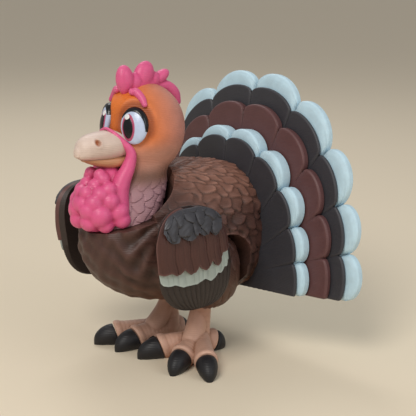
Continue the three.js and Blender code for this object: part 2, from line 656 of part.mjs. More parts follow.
// A block that reaches down to a wavy edge, one lobe for each feather
function featherZone({ featherCount, frontUp, rearUp, dip, sag }) {
  const steps = featherCount * wing.stepsPerFeather;
  const shape = new THREE.Shape();
  shape.moveTo(-overrun, overrun);
  shape.lineTo(-overrun, frontUp);
  for (let k = 0; k <= steps; k += 1) {
    const share = k / steps;
    const lobe = dip * Math.abs(Math.sin(share * featherCount * Math.PI));
    const droop = sag * (1 - (2 * share - 1) ** 2);
    shape.lineTo(wing.halfDepth * (2 * share - 1), frontUp + (rearUp - frontUp) * share - lobe - droop);
  }
  shape.lineTo(overrun, rearUp);
  shape.lineTo(overrun, overrun);
  const block = new THREE.ExtrudeGeometry(shape, { depth: overrun, bevelEnabled: false });
  return solidOf(block.applyMatrix4(new THREE.Matrix4().makeBasis(
    new THREE.Vector3(0, 1, 0), new THREE.Vector3(0, 0, 1), new THREE.Vector3(1, 0, 0),
  )));
}

const wingFrame = new THREE.Matrix4().makeTranslation(wing.centreX, wing.centreY, wing.centreZ)
  .multiply(new THREE.Matrix4().makeRotationZ(-radians(wing.inturnDeg)));
const wingPegFrame = pointing(new THREE.Vector3(-1, 0, 0), 0, -wing.pegForward, wing.pegUp);
const wingPeg = (grown) => placed(snapPeg({
  stemRadius: wing.pegRadius, stemLength: wing.pegLength, ballRadius: wing.ballRadius, grown,
  rootLength: wing.rimThickness,
}), wingPegFrame);

function wingPieces() {
  const step = wing.layerThickness + seatGap;
  const dome = (n) => wingDome(n * step);
  const room = (n) => wingDome(n * step + seatGap);
  const within = solidOf(skin([wingRing(-overrun, 1, wing.edgeInset), wingRing(overrun, 1, wing.edgeInset)]));
  const layer = (n, edge) => cut(dome(n).intersect(featherZone(edge)), room(n - 1)).intersect(within);
  const scales = capScales.map(({ across, up, size }) => {
    const share = Math.hypot(across / wing.halfDepth, up / wing.halfHeight);
    const rise = wing.domeReach * Math.sqrt(Math.max(0, 1 - share * share));
    const height = wing.rimThickness + capLayer * step + rise;
    const thick = size * capScaleShares.thickness;
    const scale = egg({
      reach: evenReach(thick, size, size * capScaleShares.height), power: cranium.fullnessPower,
      aroundCount: beadAroundCount, upCount: beadUpCount,
    });
    return solidOf(scale.translate(height - thick / 2, across + wing.skew * up, up));
  });
  const crown = join(dome(capLayer).intersect(featherZone(wingEdges.cap)), ...scales);
  const cap = cut(crown, room(capLayer - 1)).intersect(within);
  return {
    primaries: [join(dome(0), wingPeg(0)), colours.charcoal],
    band: [layer(1, wingEdges.band), colours.bandWhite],
    coverts: [layer(2, wingEdges.coverts), colours.wingBrown],
    cap: [cap, colours.capGrey],
  };
}

const toRight = new THREE.Matrix4().makeScale(-1, 1, 1);
const wingFrames = { left: wingFrame, right: toRight.clone().multiply(wingFrame) };
const wingParts = wingPieces();
Object.entries(wingFrames).forEach(([side, frame]) => {
  Object.entries(wingParts).forEach(([name, [solid, colour]]) => {
    addPiece(`wing_${name}_${side}`, placed(solid, frame), colour);
  });
});

// Legs

const thighEgg = (sign, grown) => {
  const solid = solidOf(egg({
    reach: evenReach(thigh.halfWidth + grown, thigh.halfDepth + grown, thigh.halfHeight + grown),
    power: thigh.fullnessPower, aroundCount: thigh.aroundCount, upCount: thigh.upCount,
  }).translate(sign * thigh.centreX, hip.y, hip.z));
  const inward = new THREE.Vector3(-sign, 0, 0);
  return cut(solid, blockBeyond(new THREE.Vector3(sign * (hip.recessInnerX + seatGap - grown), 0, 0), inward));
};

const hipPeg = (sign, grown) => placed(snapPeg({
  stemRadius: hip.pegRadius, stemLength: hip.pegLength, ballRadius: hip.ballRadius, grown,
  rootLength: hip.pegRoot,
}), pointing(new THREE.Vector3(-sign, 0, 0), sign * (hip.recessInnerX + seatGap), hip.y, hip.z));

// A toe runs from the ankle to its claw, and is cut square where the claw begins
function toeShape(ankle, tip, { size: share, claw: clawShare }) {
  const along = new THREE.Vector3(tip.x - ankle.x, tip.y - ankle.y, 0);
  const length = along.length();
  along.normalize();
  const side = new THREE.Vector3(-along.y, along.x, 0);
  const at = (distance) => new THREE.Vector3(ankle.x, ankle.y, 0).addScaledVector(along, distance);
  const oval = (centre, halfWidth, low, high, lean) => Array.from({ length: toe.sideCount }, (_, k) => {
    const turn = (k / toe.sideCount) * 2 * Math.PI;
    const z = (low + high) / 2 + (Math.sin(turn) * (high - low)) / 2;
    return centre.clone().addScaledVector(side, Math.cos(turn) * halfWidth)
      .addScaledVector(along, -lean * Math.sin(turn)).setZ(z);
  });
  const clawLength = toe.clawLength * share * clawShare;
  const end = length - clawLength;
  const root = toe.rootRadius * share;
  const low = -toe.underground;
  const high = toe.endHeight * share;
  const wideEnd = toe.endHalfWidth * share;
  const flesh = skin([
    oval(at(0), root, low, toe.rootZ * 2 * share, 0),
    oval(at(end * toe.kneeShare), root, low, high, 0),
    oval(at(end * toe.knuckleShare), wideEnd * toe.knuckleWidthShare, low, high * toe.knuckleHeightShare,
      toe.slant * toe.knuckleSlantShare),
    oval(at(end - seatGap), wideEnd, low, high, toe.slant),
  ]);
  const claw = (grown) => solidOf(skin(toe.clawShares.map((s) => {
    const size = Math.sqrt(1 - s ** toe.clawWidthPower);
    const arch = (toe.clawHeight - toe.clawTipHeight) * Math.sqrt(1 - s ** toe.clawArchPower);
    const centre = at(end - grown + s * (clawLength + 2 * grown));
    const top = (toe.clawTipHeight + arch) * share + grown;
    return oval(centre, toe.clawHalfWidth * size * share + grown, low, top, toe.slant * (1 - s));
  })));
  return { flesh: solidOf(flesh), claw: claw(0), clawRoom: claw(seatGap) };
}

const belowGround = blockBeyond(new THREE.Vector3(0, 0, 0), new THREE.Vector3(0, 0, -1));
const legParts = Object.entries(feet).map(([side, foot]) => {
  const ankle = new THREE.Vector3(foot.ankleX, foot.ankleY, 0);
  const column = limb([
    { x: foot.sign * shank.topX, y: shank.topY, z: shank.topZ, radius: shank.topRadius },
    {
      x: (foot.sign * shank.topX + foot.ankleX) / 2, y: shank.topY, z: (shank.topZ + shank.ankleZ) / 2,
      radius: shank.waistRadius,
    },
    { x: foot.ankleX, y: foot.ankleY, z: shank.ankleZ, radius: shank.topRadius },
    { x: foot.ankleX, y: foot.ankleY - shank.footForward, z: toe.rootZ, radius: shank.topRadius },
  ], shank.sideCount);
  const toes = Object.entries(foot.toes).map(([name, tip]) => {
    return { name, ...toeShape(ankle, tip, toeShares[name]) };
  });
  const claws = toes.map(({ name, claw }) => ({ name, solid: cut(claw, belowGround) }));
  const rooms = [thighEgg(foot.sign, seatGap), ...toes.map((t) => t.clawRoom), belowGround];
  const flesh = cut(join(solidOf(column), ...toes.map((t) => t.flesh)), ...rooms);
  return { side, foot, flesh, claws, thigh: join(thighEgg(foot.sign, 0), hipPeg(foot.sign, 0)) };
});
legParts.forEach(({ side, flesh, claws, thigh: drumstick }) => {
  addPiece(`thigh_${side}`, drumstick, colours.brown);
  addPiece(`foot_${side}`, flesh, colours.foot);
  claws.forEach(({ name, solid }) => addPiece(`claw_${name}_${side}`, solid, colours.claw));
});

// Body

const bodyEgg = solidOf(egg({
  reach: {
    left: body.halfWidth, right: body.halfWidth, front: body.frontReach, rear: body.rearReach,
    top: body.topReach, bottom: body.bottomReach,
  },
  power: body.fullnessPower, rumpPower: body.rumpPower, aroundCount: body.aroundCount, upCount: body.upCount,
}).translate(0, body.centreY, body.centreZ));

const fanFace = new THREE.Vector3(0, 0, fanFront + seatGap).applyMatrix4(fanLean);
const behindFan = blockBeyond(fanFace, fanForward.clone().negate());
const wellProfile = neckWellSteps.map(({ radius, rise }) => new THREE.Vector2(radius, rise));
const wellTop = neckWellSteps[neckWellSteps.length - 1].rise;
const wellOutline = [new THREE.Vector2(0, 0), ...wellProfile, new THREE.Vector2(0, wellTop)];
const wellLathe = new THREE.LatheGeometry(wellOutline, neck.wellSides).rotateX(Math.PI / 2);
const neckWell = placed(solidOf(wellLathe), pointing(neckAxis, 0, neckSeat.y, neckSeat.z));
// In front of the neck the seat runs out level to the breast, under the wattle
const aheadOfNeck = blockBeyond(neckSeat, neckAxis).intersect(
  blockBeyond(neckSeat, new THREE.Vector3(0, -neckAxis.z, neckAxis.y)),
);
const hipRecess = (sign) => {
  const round = new THREE.CylinderGeometry(hip.recessRadius, hip.recessRadius, overrun, hip.recessSides);
  return solidOf(round.rotateZ(Math.PI / 2).translate(sign * (hip.recessInnerX + overrun / 2), hip.y, hip.z));
};
const sockets = [
  neckPeg(runningGap), ...Object.values(wingFrames).map((frame) => placed(wingPeg(runningGap), frame)),
  hipPeg(1, runningGap), hipPeg(-1, runningGap), hipRecess(1), hipRecess(-1),
];
const fanSlot = placed(fanPeg(fanFront - seatGap, seatGap), fanLean);
const trunk = cut(bodyEgg, behindFan, neckWell, aheadOfNeck, fanSlot, ...sockets);
addPiece('body', trunk, colours.brown);

export default turkey;
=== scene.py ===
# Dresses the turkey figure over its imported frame. Metres, +Z up, the turkey faces -Y and its left side is +X.
import math

import bpy
import numpy as np
from mathutils import Matrix, Vector


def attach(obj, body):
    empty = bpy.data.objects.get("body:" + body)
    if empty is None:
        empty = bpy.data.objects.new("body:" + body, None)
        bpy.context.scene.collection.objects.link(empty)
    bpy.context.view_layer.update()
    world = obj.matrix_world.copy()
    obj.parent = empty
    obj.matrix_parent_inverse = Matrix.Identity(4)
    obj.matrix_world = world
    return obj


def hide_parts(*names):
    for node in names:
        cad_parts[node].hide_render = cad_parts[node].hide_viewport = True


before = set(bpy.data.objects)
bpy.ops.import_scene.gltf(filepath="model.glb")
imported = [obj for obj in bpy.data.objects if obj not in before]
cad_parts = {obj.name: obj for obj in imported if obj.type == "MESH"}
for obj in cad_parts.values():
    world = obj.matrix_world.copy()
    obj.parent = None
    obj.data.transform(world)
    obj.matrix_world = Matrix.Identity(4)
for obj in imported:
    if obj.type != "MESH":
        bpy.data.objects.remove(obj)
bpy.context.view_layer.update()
mm = 0.001

# Materials


def linear(hexCode):
    # below 0.04045 divide by 12.92, above it ((c + 0.055) / 1.055) to the power 2.4
    parts = [int(hexCode[i:i + 2], 16) / 255 for i in (1, 3, 5)]
    return [c / 12.92 if c <= 0.04045 else ((c + 0.055) / 1.055) ** 2.4 for c in parts] + [1.0]


def addNode(tree, kind, settings=None, **inputs):
    # an input is a link or a value, named as its socket is, or by its number after an i
    node = tree.nodes.new(kind)
    for key, value in (settings or {}).items():
        setattr(node, key, value)
    for key, value in inputs.items():
        socket = node.inputs[int(key[1:])] if key[1:].isdigit() else node.inputs[key.replace("_", " ")]
        if isinstance(value, bpy.types.NodeSocket):
            tree.links.new(value, socket)
        else:
            socket.default_value = value
    return node


# Print layers are 0.2 mm thick, too fine for the picture, so their ridges are drawn 0.85 mm apart. The
# pigment drifts over 7 mm, and a speckle 1.1 mm across stands for the rough skin of the filament. Sizes in mm.
plastic = {"layer": 0.85, "drift": 7, "speckle": 1.1, "grain": 0.5, "ridgeHeight": 0.1, "drifted": "#D8D4D2",
           "ior": 1.46}


def printedPlastic(name, roughness, bump, directions):
    # Filament-printed PLA: soft ridges of the print layers give it a satin, slightly banded sheen, and the
    # pigment drifts a little. Ridge height is the sum of sines of the place along each direction.
    material = bpy.data.materials.new(name)
    material.use_nodes = True
    tree = material.node_tree
    tree.nodes.clear()
    place = addNode(tree, "ShaderNodeTexCoord").outputs["Object"]
    paint = addNode(tree, "ShaderNodeAttribute", {"attribute_name": "shade"}).outputs["Color"]
    drift = addNode(tree, "ShaderNodeTexNoise", Vector=place, Scale=1 / (plastic["drift"] * mm), Detail=4.0,
                    Roughness=0.65)
    mixed = addNode(tree, "ShaderNodeMix", {"data_type": "RGBA", "blend_type": "MULTIPLY"},
                    i0=drift.outputs["Fac"], i6=paint, i7=linear(plastic["drifted"]))
    ridges = None
    for direction in directions:
        along = addNode(tree, "ShaderNodeVectorMath", {"operation": "DOT_PRODUCT"}, i0=place, i1=direction)
        turns = addNode(tree, "ShaderNodeMath", {"operation": "MULTIPLY"}, i0=along.outputs["Value"],
                        i1=2 * math.pi / (plastic["layer"] * mm))
        wave = addNode(tree, "ShaderNodeMath", {"operation": "SINE"}, i0=turns.outputs[0]).outputs[0]
        ridges = wave if ridges is None else addNode(tree, "ShaderNodeMath", {"operation": "ADD"}, i0=ridges,
                                                     i1=wave).outputs[0]
    speckle = addNode(tree, "ShaderNodeTexNoise", Vector=place, Scale=1 / (plastic["speckle"] * mm), Detail=2.0)
    rough = addNode(tree, "ShaderNodeMath", {"operation": "MULTIPLY_ADD"}, i0=speckle.outputs["Fac"],
                    i1=plastic["grain"], i2=ridges)
    relief = addNode(tree, "ShaderNodeBump", Strength=bump, Distance=plastic["ridgeHeight"] * mm,
                     Height=rough.outputs[0])
    shader = addNode(tree, "ShaderNodeBsdfPrincipled", Base_Color=mixed.outputs[2], Roughness=roughness,
                     IOR=plastic["ior"], Normal=relief.outputs["Normal"])
    addNode(tree, "ShaderNodeOutputMaterial", Surface=shader.outputs[0])
    return material


# Each slot's plastic: name, roughness, strength of its ridges and the directions that they step along, then its
# plain colour, its colour in hollows as painted shade and its colour on ridges as a painted highlight
bodyPrint = ((0, 0, 1),)
tipPrint = ((0, -0.992, 0.125),)
fanPrint = ((0, -0.992, 0.125), (0, 0, 1))
wingPrint = ((1, 0, 0),)
finishes = {
    "body_brown": ("PLA satin chocolate brown", 0.5, 0.3, bodyPrint, "#4B3029", "#33211C", "#6E4D46"),
    "head_orange": ("PLA satin orange", 0.5, 0.3, bodyPrint, "#E87C30", "#A84E20", "#FA8836"),
    "eye_white": ("PLA gloss white", 0.22, 0.06, bodyPrint, "#C4D4F2", "#A8BADA", "#D2E0F8"),
    "eye_crimson": ("PLA gloss crimson", 0.22, 0.06, bodyPrint, "#B0466A", "#983452", "#BC5878"),
    "eye_black": ("PLA gloss black", 0.25, 0.06, bodyPrint, "#090A10", "#07080C", "#0E1018"),
    "eye_glint": ("PLA gloss bright white", 0.2, 0.06, bodyPrint, "#F2F6FA", "#E4ECF4", "#F8FAFC"),
    "beak_cream": ("PLA satin cream", 0.42, 0.3, bodyPrint, "#DFC9BC", "#B8906C", "#E8D6CA"),
    "beak_tan": ("PLA satin tan", 0.42, 0.3, bodyPrint, "#C9926C", "#9C6038", "#D4A682"),
    "flesh_pink": ("PLA satin pink", 0.4, 0.22, bodyPrint, "#E45A90", "#B5305E", "#EE78A4"),
    "feather_charcoal": ("PLA satin charcoal", 0.5, 0.22, fanPrint, "#38383E", "#232327", "#44444A"),
    "feather_pale": ("PLA satin pale grey", 0.5, 0.3, wingPrint, "#A6B3AE", "#7C8984", "#B2BEBA"),
    "feather_white": ("PLA satin white", 0.5, 0.3, tipPrint, "#C2E2F2", "#8FA9B6", "#CEECFA"),
    "wing_brown": ("PLA satin red brown", 0.44, 0.3, wingPrint, "#4A2A25", "#33201D", "#6A4844"),
    "wing_cap_grey": ("PLA satin dark grey", 0.42, 0.3, wingPrint, "#3A3A40", "#1E1E21", "#4C4D54"),
    "fan_brown": ("PLA satin plum brown", 0.5, 0.22, fanPrint, "#613F3F", "#402A2A", "#6C4A4A"),
    "foot_tan": ("PLA satin salmon tan", 0.5, 0.22, bodyPrint, "#D2A690", "#A67A62", "#DAB4A0"),
    "claw_black": ("PLA satin black brown", 0.5, 0.3, bodyPrint, "#18171A", "#111013", "#242226"),
}
materials = {slot: printedPlastic(*finish[:4]) for slot, finish in finishes.items()}
print("materials made")

# Surfaces


def unit(v):
    # each vector over its length
    v = np.asarray(v, float)
    return v / np.linalg.norm(v, axis=-1, keepdims=True)


def ease(x):
    # 0 below 0, 1 above 1, and 3x^2 - 2x^3 between
    t = np.clip(x, 0, 1)
    return t * t * (3 - 2 * t)


def through(stations, count):
    # a Catmull-Rom curve through the rows of stations, evenly shared among them
    p = np.asarray(stations, float)
    p = np.vstack([2 * p[0] - p[1], p, 2 * p[-1] - p[-2]])
    s = np.linspace(0, len(p) - 3, count)
    k = np.minimum(s.astype(int), len(p) - 4)
    t = (s - k)[:, None]
    a, b, c, d = p[k], p[k + 1], p[k + 2], p[k + 3]
    return 0.5 * (2 * b + (c - a) * t + (2 * a - 5 * b + 4 * c - d) * t**2 + (3 * b - a - 3 * c + d) * t**3)


def skinned(rings):
    # points and faces of a skin over closed rings, each end closed by its middle point
    rings = np.asarray(rings, float)
    count, sides = rings.shape[:2]
    points = np.vstack([rings.reshape(-1, 3), rings[0].mean(0), rings[-1].mean(0)])
    i = np.arange(count * sides).reshape(count, sides)
    a, b = i[:-1], i[1:]
    quads = np.stack([a, np.roll(a, -1, 1), np.roll(b, -1, 1), b], -1).reshape(-1, 4)
    first, last = count * sides, count * sides + 1
    caps = [(first, n, m) for m, n in zip(i[0], np.roll(i[0], -1))]
    caps += [(last, m, n) for m, n in zip(i[-1], np.roll(i[-1], -1))]
    return points, quads.tolist() + caps


def slab(outer, inner):
    # points and faces of a shell between two grids of points, with a wall round their common edge
    rows, columns = outer.shape[:2]
    points = np.vstack([outer.reshape(-1, 3), inner.reshape(-1, 3)])
    i = np.arange(rows * columns).reshape(rows, columns)
    far = rows * columns
    quads = np.stack([i[:-1, :-1], i[:-1, 1:], i[1:, 1:], i[1:, :-1]], -1).reshape(-1, 4)
    edge = np.concatenate([i[0, :-1], i[:-1, -1], i[-1, :0:-1], i[:0:-1, 0]])
    onward = np.roll(edge, -1)
    wall = np.stack([onward, edge, edge + far, onward + far], -1)
    return points, np.vstack([quads, quads[:, ::-1] + far, wall]).tolist()


def outward(points, faces):
    # turns the faces over if the signed volume under them is below zero
    corners = np.array([f[:3] for f in faces])
    rest = np.array([(f[0], f[2], f[3]) for f in faces if len(f) == 4])
    triangles = np.vstack([corners, rest]) if len(rest) else corners
    p, q, r = (points[triangles[:, k]] for k in range(3))
    return faces if np.einsum("ij,ij->i", p, np.cross(q, r)).sum() > 0 else [f[::-1] for f in faces]


def meshObject(name, shells):
    # one mesh from a list of (points, faces) in millimetres
    points, faces, base = [], [], 0
    for shellPoints, shellFaces in shells:
        faces += [[k + base for k in face] for face in outward(shellPoints, shellFaces)]
        points.append(shellPoints)
        base += len(shellPoints)
    mesh = bpy.data.meshes.new(name)
    mesh.from_pydata((np.vstack(points) * mm).tolist(), [], faces)
    mesh.update()
    obj = bpy.data.objects.new(name, mesh)
    bpy.context.collection.objects.link(obj)
    return obj


def cutter(shape):
    return meshObject("cutter", [shape])


def applied(obj):
    # gives the object the mesh that its modifiers make, and takes them off
    bpy.context.view_layer.update()
    made = bpy.data.meshes.new_from_object(obj.evaluated_get(bpy.context.evaluated_depsgraph_get()))
    obj.modifiers.clear()
    obj.data = made
    return obj


def carve(obj, tools, operation="DIFFERENCE"):
    # cuts the tools out of the object, or joins them to it, and removes them
    for tool in tools:
        modifier = obj.modifiers.new("carve", "BOOLEAN")
        modifier.operation, modifier.object, modifier.solver = operation, tool, "MANIFOLD"
    applied(obj)
    for tool in tools:
        bpy.data.objects.remove(tool)


meltCell = 0.45  # mm


def melted(obj, passes):
    # joins overlapping shells into one skin of small cells, then smooths it
    remesh = obj.modifiers.new("melt", "REMESH")
    remesh.mode, remesh.voxel_size = "VOXEL", meltCell * mm
    soften = obj.modifiers.new("soften", "SMOOTH")
    soften.iterations, soften.factor = passes, 0.5
    return applied(obj)


def pointsOf(mesh):
    points = np.empty(len(mesh.vertices) * 3)
    mesh.vertices.foreach_get("co", points)
    return points.reshape(-1, 3) / mm


def hollowness(mesh, reach):
    # how far, in mm, the mean of the points round a point lies out along its normal: above 0 in a hollow,
    # below 0 on a ridge. The mean is taken over a patch that grows with reach.
    points = pointsOf(mesh)
    edges = np.empty(len(mesh.edges) * 2, int)
    mesh.edges.foreach_get("vertices", edges)
    a, b = edges.reshape(-1, 2).T
    ends, others = np.concatenate([a, b]), np.concatenate([b, a])
    count = np.maximum(np.bincount(ends, minlength=len(points)), 1)[:, None]
    normals = np.empty(len(points) * 3)
    mesh.vertex_normals.foreach_get("vector", normals)
    moved = points
    for _ in range(reach):
        sums = np.stack([np.bincount(ends, moved[others, k], len(points)) for k in range(3)], -1)
        moved = sums / count
    return ((moved - points) * normals.reshape(-1, 3)).sum(-1)


# shares of the painted shade in hollows and of the painted highlight on ridges, and the brightest colour let
# through
shading = {"hollow": 0.8, "ridge": 0.4, "brightest": 0.95}


def dress(obj, body, slot, nodes, crease=38, reach=6, depth=0.12, tint=()):
    # The plain colour takes each tint in turn, given as (amount from points, hex). Then painted shade: a hollow
    # of the given depth darkens what is there as the slot's hollow colour darkens its plain one, and a ridge
    # lightens it as a painted highlight.
    plain, deep, bright = (np.array(linear(hexCode)[:3]) for hexCode in finishes[slot][4:])
    mesh = obj.data
    points = pointsOf(mesh)
    colours = np.tile(plain, (len(points), 1))
    for amount, hexCode in tint:
        colours += (np.array(linear(hexCode)[:3]) - colours) * np.clip(amount(points), 0, 1)[:, None]
    hollow = hollowness(mesh, reach) / depth
    for amount, other in ((hollow * shading["hollow"], deep), (-hollow * shading["ridge"], bright)):
        colours *= 1 + (other / plain - 1) * np.clip(amount, 0, 1)[:, None]
    colours = np.clip(colours, 0, shading["brightest"])
    layer = mesh.attributes.new("shade", "FLOAT_COLOR", "POINT")
    layer.data.foreach_set("color", np.hstack([colours, np.ones((len(colours), 1))]).ravel())
    mesh.materials.clear()
    mesh.materials.append(materials[slot])
    mesh.shade_smooth()
    mesh.set_sharp_from_angle(angle=math.radians(crease))
    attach(obj, body)
    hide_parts(*nodes)


def eggAlong(p, centre, reach, power=2.0, rumpPower=0.0):
    # a superellipsoid: each direction over the root of the sum of its parts to the power, then stretched by
    # the reach on its own side. The rump's power squares off its low rear.
    full = power + rumpPower * np.maximum(0, p[..., 1]) * np.maximum(0, -p[..., 2])
    spread = (np.abs(p) ** full[..., None]).sum(-1) ** (-1 / full)
    return np.asarray(centre) + p * spread[..., None] * np.where(p > 0, np.array(reach[1]), np.array(reach[0]))


def sphereGrid(rows, sides):
    # directions (sin v cos u, sin v sin u, cos v), without the poles
    down = np.linspace(0, math.pi, rows + 2)[1:-1]
    v, u = np.meshgrid(down, np.arange(sides) * 2 * math.pi / sides, indexing="ij")
    return np.stack([np.sin(v) * np.cos(u), np.sin(v) * np.sin(u), np.cos(v)], -1), u, v


def scales(s, t, length, soft):
    # Overlapping U scales, s along them and t across: each rises from its root to a tip rounded as
    # sqrt(1 - d^2), and the highest one shows.
    best = np.zeros_like(s)
    for back in range(3):
        row = np.floor(s) - back
        local = s - row
        aside = t - 0.5 * (row % 2)
        d = 2 * np.abs(aside - np.round(aside))
        edge = length - 1 + np.sqrt(np.clip(1 - d**2, 0, 1)) - local
        best = np.maximum(best, (0.3 + 0.7 * local / length) * ease(edge / soft) * (1 - 0.3 * d**2))
    return best


def turned(points, direction, place):
    # carries a shape that stands along +Z so that it stands along a direction from a place
    turn = Vector((0, 0, 1)).rotation_difference(Vector(direction)).to_matrix()
    return points @ np.array(turn).T + np.asarray(place, float)


def lathe(profile, direction, place, sides=48):
    # a profile of (radius, height) spun round a direction
    profile = np.asarray(profile, float)
    u = np.arange(sides) * 2 * math.pi / sides
    radius, height = np.maximum(profile[:, :1], 0.01), profile[:, 1:]
    rings = np.stack([radius * np.cos(u), radius * np.sin(u), height + 0 * u], -1)
    points, faces = skinned(rings)
    return turned(points, direction, place), faces


def pegProfile(joint, grown, root):
    # a stem, then a ball on its end, all grown by a clearance
    stem, length, ball = joint["stem"] + grown, joint["stemLength"], joint["ball"] + grown
    arc = np.linspace(math.pi - math.asin(stem / ball), 0, 14)
    return np.vstack([[stem, -root], np.stack([np.sin(arc), np.cos(arc)], -1) * ball + [0, length]])


def block(place, axes, low, high):
    # a box between two corners on its own three axes
    corners = np.array([[x, y, z] for x in (0, 1) for y in (0, 1) for z in (0, 1)])
    local = np.asarray(low) + corners * (np.asarray(high) - np.asarray(low))
    faces = [[0, 1, 3, 2], [4, 6, 7, 5], [0, 4, 5, 1], [2, 3, 7, 6], [0, 2, 6, 4], [1, 5, 7, 3]]
    return local @ np.asarray(axes) + np.asarray(place, float), faces


def mirrored(shape, sign):
    # the left side's shape, or with sign -1 the right side's
    return shape[0] * [sign, 1, 1], shape[1]


def tube(stations, count, sides):
    # a round limb along a curve of (x, y, z, radius), rounded off past both ends
    curve = through(stations, count)
    path, radius = curve[:, :3], curve[:, 3]
    along = unit(np.gradient(path, axis=0))
    caps = np.linspace(0.15, 1, 7)[:-1]
    beyond = np.sqrt(1 - caps**2)
    path = np.vstack([path[0] - along[0] * (radius[0] * beyond)[:, None], path,
                      path[-1] + along[-1] * (radius[-1] * beyond[::-1])[:, None]])
    radius = np.concatenate([radius[0] * caps, radius, radius[-1] * caps[::-1]])
    along = np.vstack([np.repeat(along[:1], 6, 0), along, np.repeat(along[-1:], 6, 0)])
    level = np.where(np.abs(along[:, 2:]) > 0.95, [[1.0, 0, 0]], [[0, 0, 1.0]])
    side = unit(np.cross(level, along))
    over = np.cross(along, side)
    u = np.arange(sides) * 2 * math.pi / sides
    return skinned(path[:, None] + radius[:, None, None] * (
        side[:, None] * np.cos(u)[None, :, None] + over[:, None] * np.sin(u)[None, :, None]))


# Sizes in mm that pieces share, as the solids have them

snapRoom = 0.4  # round a snap peg in its socket
body = {"centre": (0, 2, 68), "reach": ((34, 59, 37), (34, 62, 34)), "power": 2.1, "rumpPower": 3,
        "featherPole": (0, -0.45, 0.89), "columns": 40, "rows": 19, "relief": 1.9, "breastRelief": 0.1,
        "around": 400, "along": 214, "dent": 0.75, "fold": 0.9}
neck = {"seat": (0, -34, 80.5), "gap": 0.3, "lean": 15, "stem": 5.6, "stemLength": 9, "ball": 7}
wing = {"place": (38.4, -24.2, 63.8), "inturn": 4, "halfDepth": 22.9, "halfHeight": 26.2, "skew": -0.16,
        "power": 2.6, "rim": 0.8, "dome": 4.4, "step": 1.3, "gap": 0.3,
        "undercut": 0.1, "peg": (0, -4, 9.5), "stem": 3.2, "stemLength": 16, "ball": 4.1}
hip = {"y": 4, "z": 48, "recessX": 8.2, "pegX": 8.5, "room": 0.9, "swing": 25.5, "shankRoom": 1.8,
       "shankTurn": 5.35, "shankSpread": 0.32, "stem": 2.6, "stemLength": 3.6, "ball": 3.4}
thigh = {"x": 19.6, "half": (15, 16.6, 20.2), "power": 2.3, "columns": 17, "rows": 7.5, "relief": 0.9}
fan = {"place": (0, 37.4, 31), "lean": 7.2, "front": 8.2, "feathers": 10, "steps": 24, "firstEdge": 4.3,
       "rise": (0.1654, 0.1595), "hubHalfWidth": 12, "back": -11.0, "gap": 0.3, "pegUp": 28, "pegHalf": (8, 4),
       "pegLength": 11}

leanAngle = math.radians(neck["lean"])
neckAxis = np.array([0, -math.sin(leanAngle), math.cos(leanAngle)])
neckAhead = np.array([0, -neckAxis[2], neckAxis[1]])
seat = np.asarray(neck["seat"], float)
neckFoot = seat + neckAxis * neck["gap"]
fanTurn = math.radians(90 - fan["lean"])
fanAxes = np.array([[1, 0, 0], [0, math.cos(fanTurn), math.sin(fanTurn)],
                    [0, -math.sin(fanTurn), math.cos(fanTurn)]])
wingTurn = math.radians(-wing["inturn"])
wingAxes = np.array([[math.cos(wingTurn), math.sin(wingTurn), 0], [-math.sin(wingTurn), math.cos(wingTurn), 0],
                     [0, 0, 1]])


def fanPlaced(shape):
    # from (across, up the fan, forward) to its leaning place
    return shape[0] @ fanAxes + fan["place"], shape[1]


def wingPlaced(shape, sign):
    # from (out, rearward, up) to the shoulder, turned in a little
    return mirrored((shape[0] @ wingAxes + wing["place"], shape[1]), sign)


def hipPeg(sign, grown):
    return lathe(pegProfile(hip, grown, 2), (-sign, 0, 0), (sign * hip["pegX"], hip["y"], hip["z"]))


def sweptRecess():
    # the room of a thigh as it swings: at each turn round the hip the most that its superellipse reaches
    # there, and a little more, and more again behind, where the shank comes
    power = thigh["power"]
    turn = np.arange(120) * 2 * math.pi / 120
    off = turn - np.radians(np.linspace(-hip["swing"], hip["swing"], 41))[:, None]
    reach = ((np.abs(np.cos(off)) / thigh["half"][1]) ** power
             + (np.abs(np.sin(off)) / thigh["half"][2]) ** power) ** (-1 / power)
    reach = reach.max(0) + hip["room"]
    reach += hip["shankRoom"] * np.exp(-((turn - hip["shankTurn"]) / hip["shankSpread"]) ** 2)
    rings = [np.stack([0 * turn + x, hip["y"] + np.cos(turn) * reach, hip["z"] + np.sin(turn) * reach], -1)
             for x in (hip["recessX"], hip["recessX"] + 40)]
    return skinned(rings)


def inRecess(points):
    # 1 inside a hip recess, and 0 outside it and by its peg; it places the painted shade inside the recess
    out, off = np.abs(points[:, 0]), np.hypot(points[:, 1] - hip["y"], points[:, 2] - hip["z"])
    return ease((34 - out) / 3) * ease((out - 6) / 2) * ease(off - 4) * ease((24 - off) / 2)


# Body: feather scales on the back and flanks, fading to a nearly plain breast

v, u = np.meshgrid(np.linspace(0.03, math.pi - 0.03, body["along"]),
                   np.arange(body["around"]) * 2 * math.pi / body["around"], indexing="ij")
pole = unit(body["featherPole"])
third = np.cross(pole, [1, 0, 0])
p = (np.cos(v)[..., None] * pole + (np.sin(v) * np.cos(u))[..., None] * [1, 0, 0]
     + (np.sin(v) * np.sin(u))[..., None] * third)
waver = 0.16 * np.sin(3 * u + 4 * v) + 0.13 * np.sin(7 * u - 5 * v) + 0.1 * np.sin(17 * u + 11 * v)
stray = 0.14 * np.sin(11 * u + 23 * v) + 0.12 * np.sin(23 * u - 17 * v)
field = scales(v / math.pi * body["rows"] + waver + stray, u / (2 * math.pi) * body["columns"] + waver - stray,
               1.75, 0.45)
rearward = ease((p[..., 1] + 0.5) / 0.45)
flank = ease((np.abs(p[..., 0]) - 0.5) / 0.35) * 0.6
strength = np.maximum(body["breastRelief"], np.maximum(rearward, flank)) * ease(np.sin(v) / 0.5)
rings = eggAlong(p, (0, 0, 0), body["reach"], body["power"], body["rumpPower"])
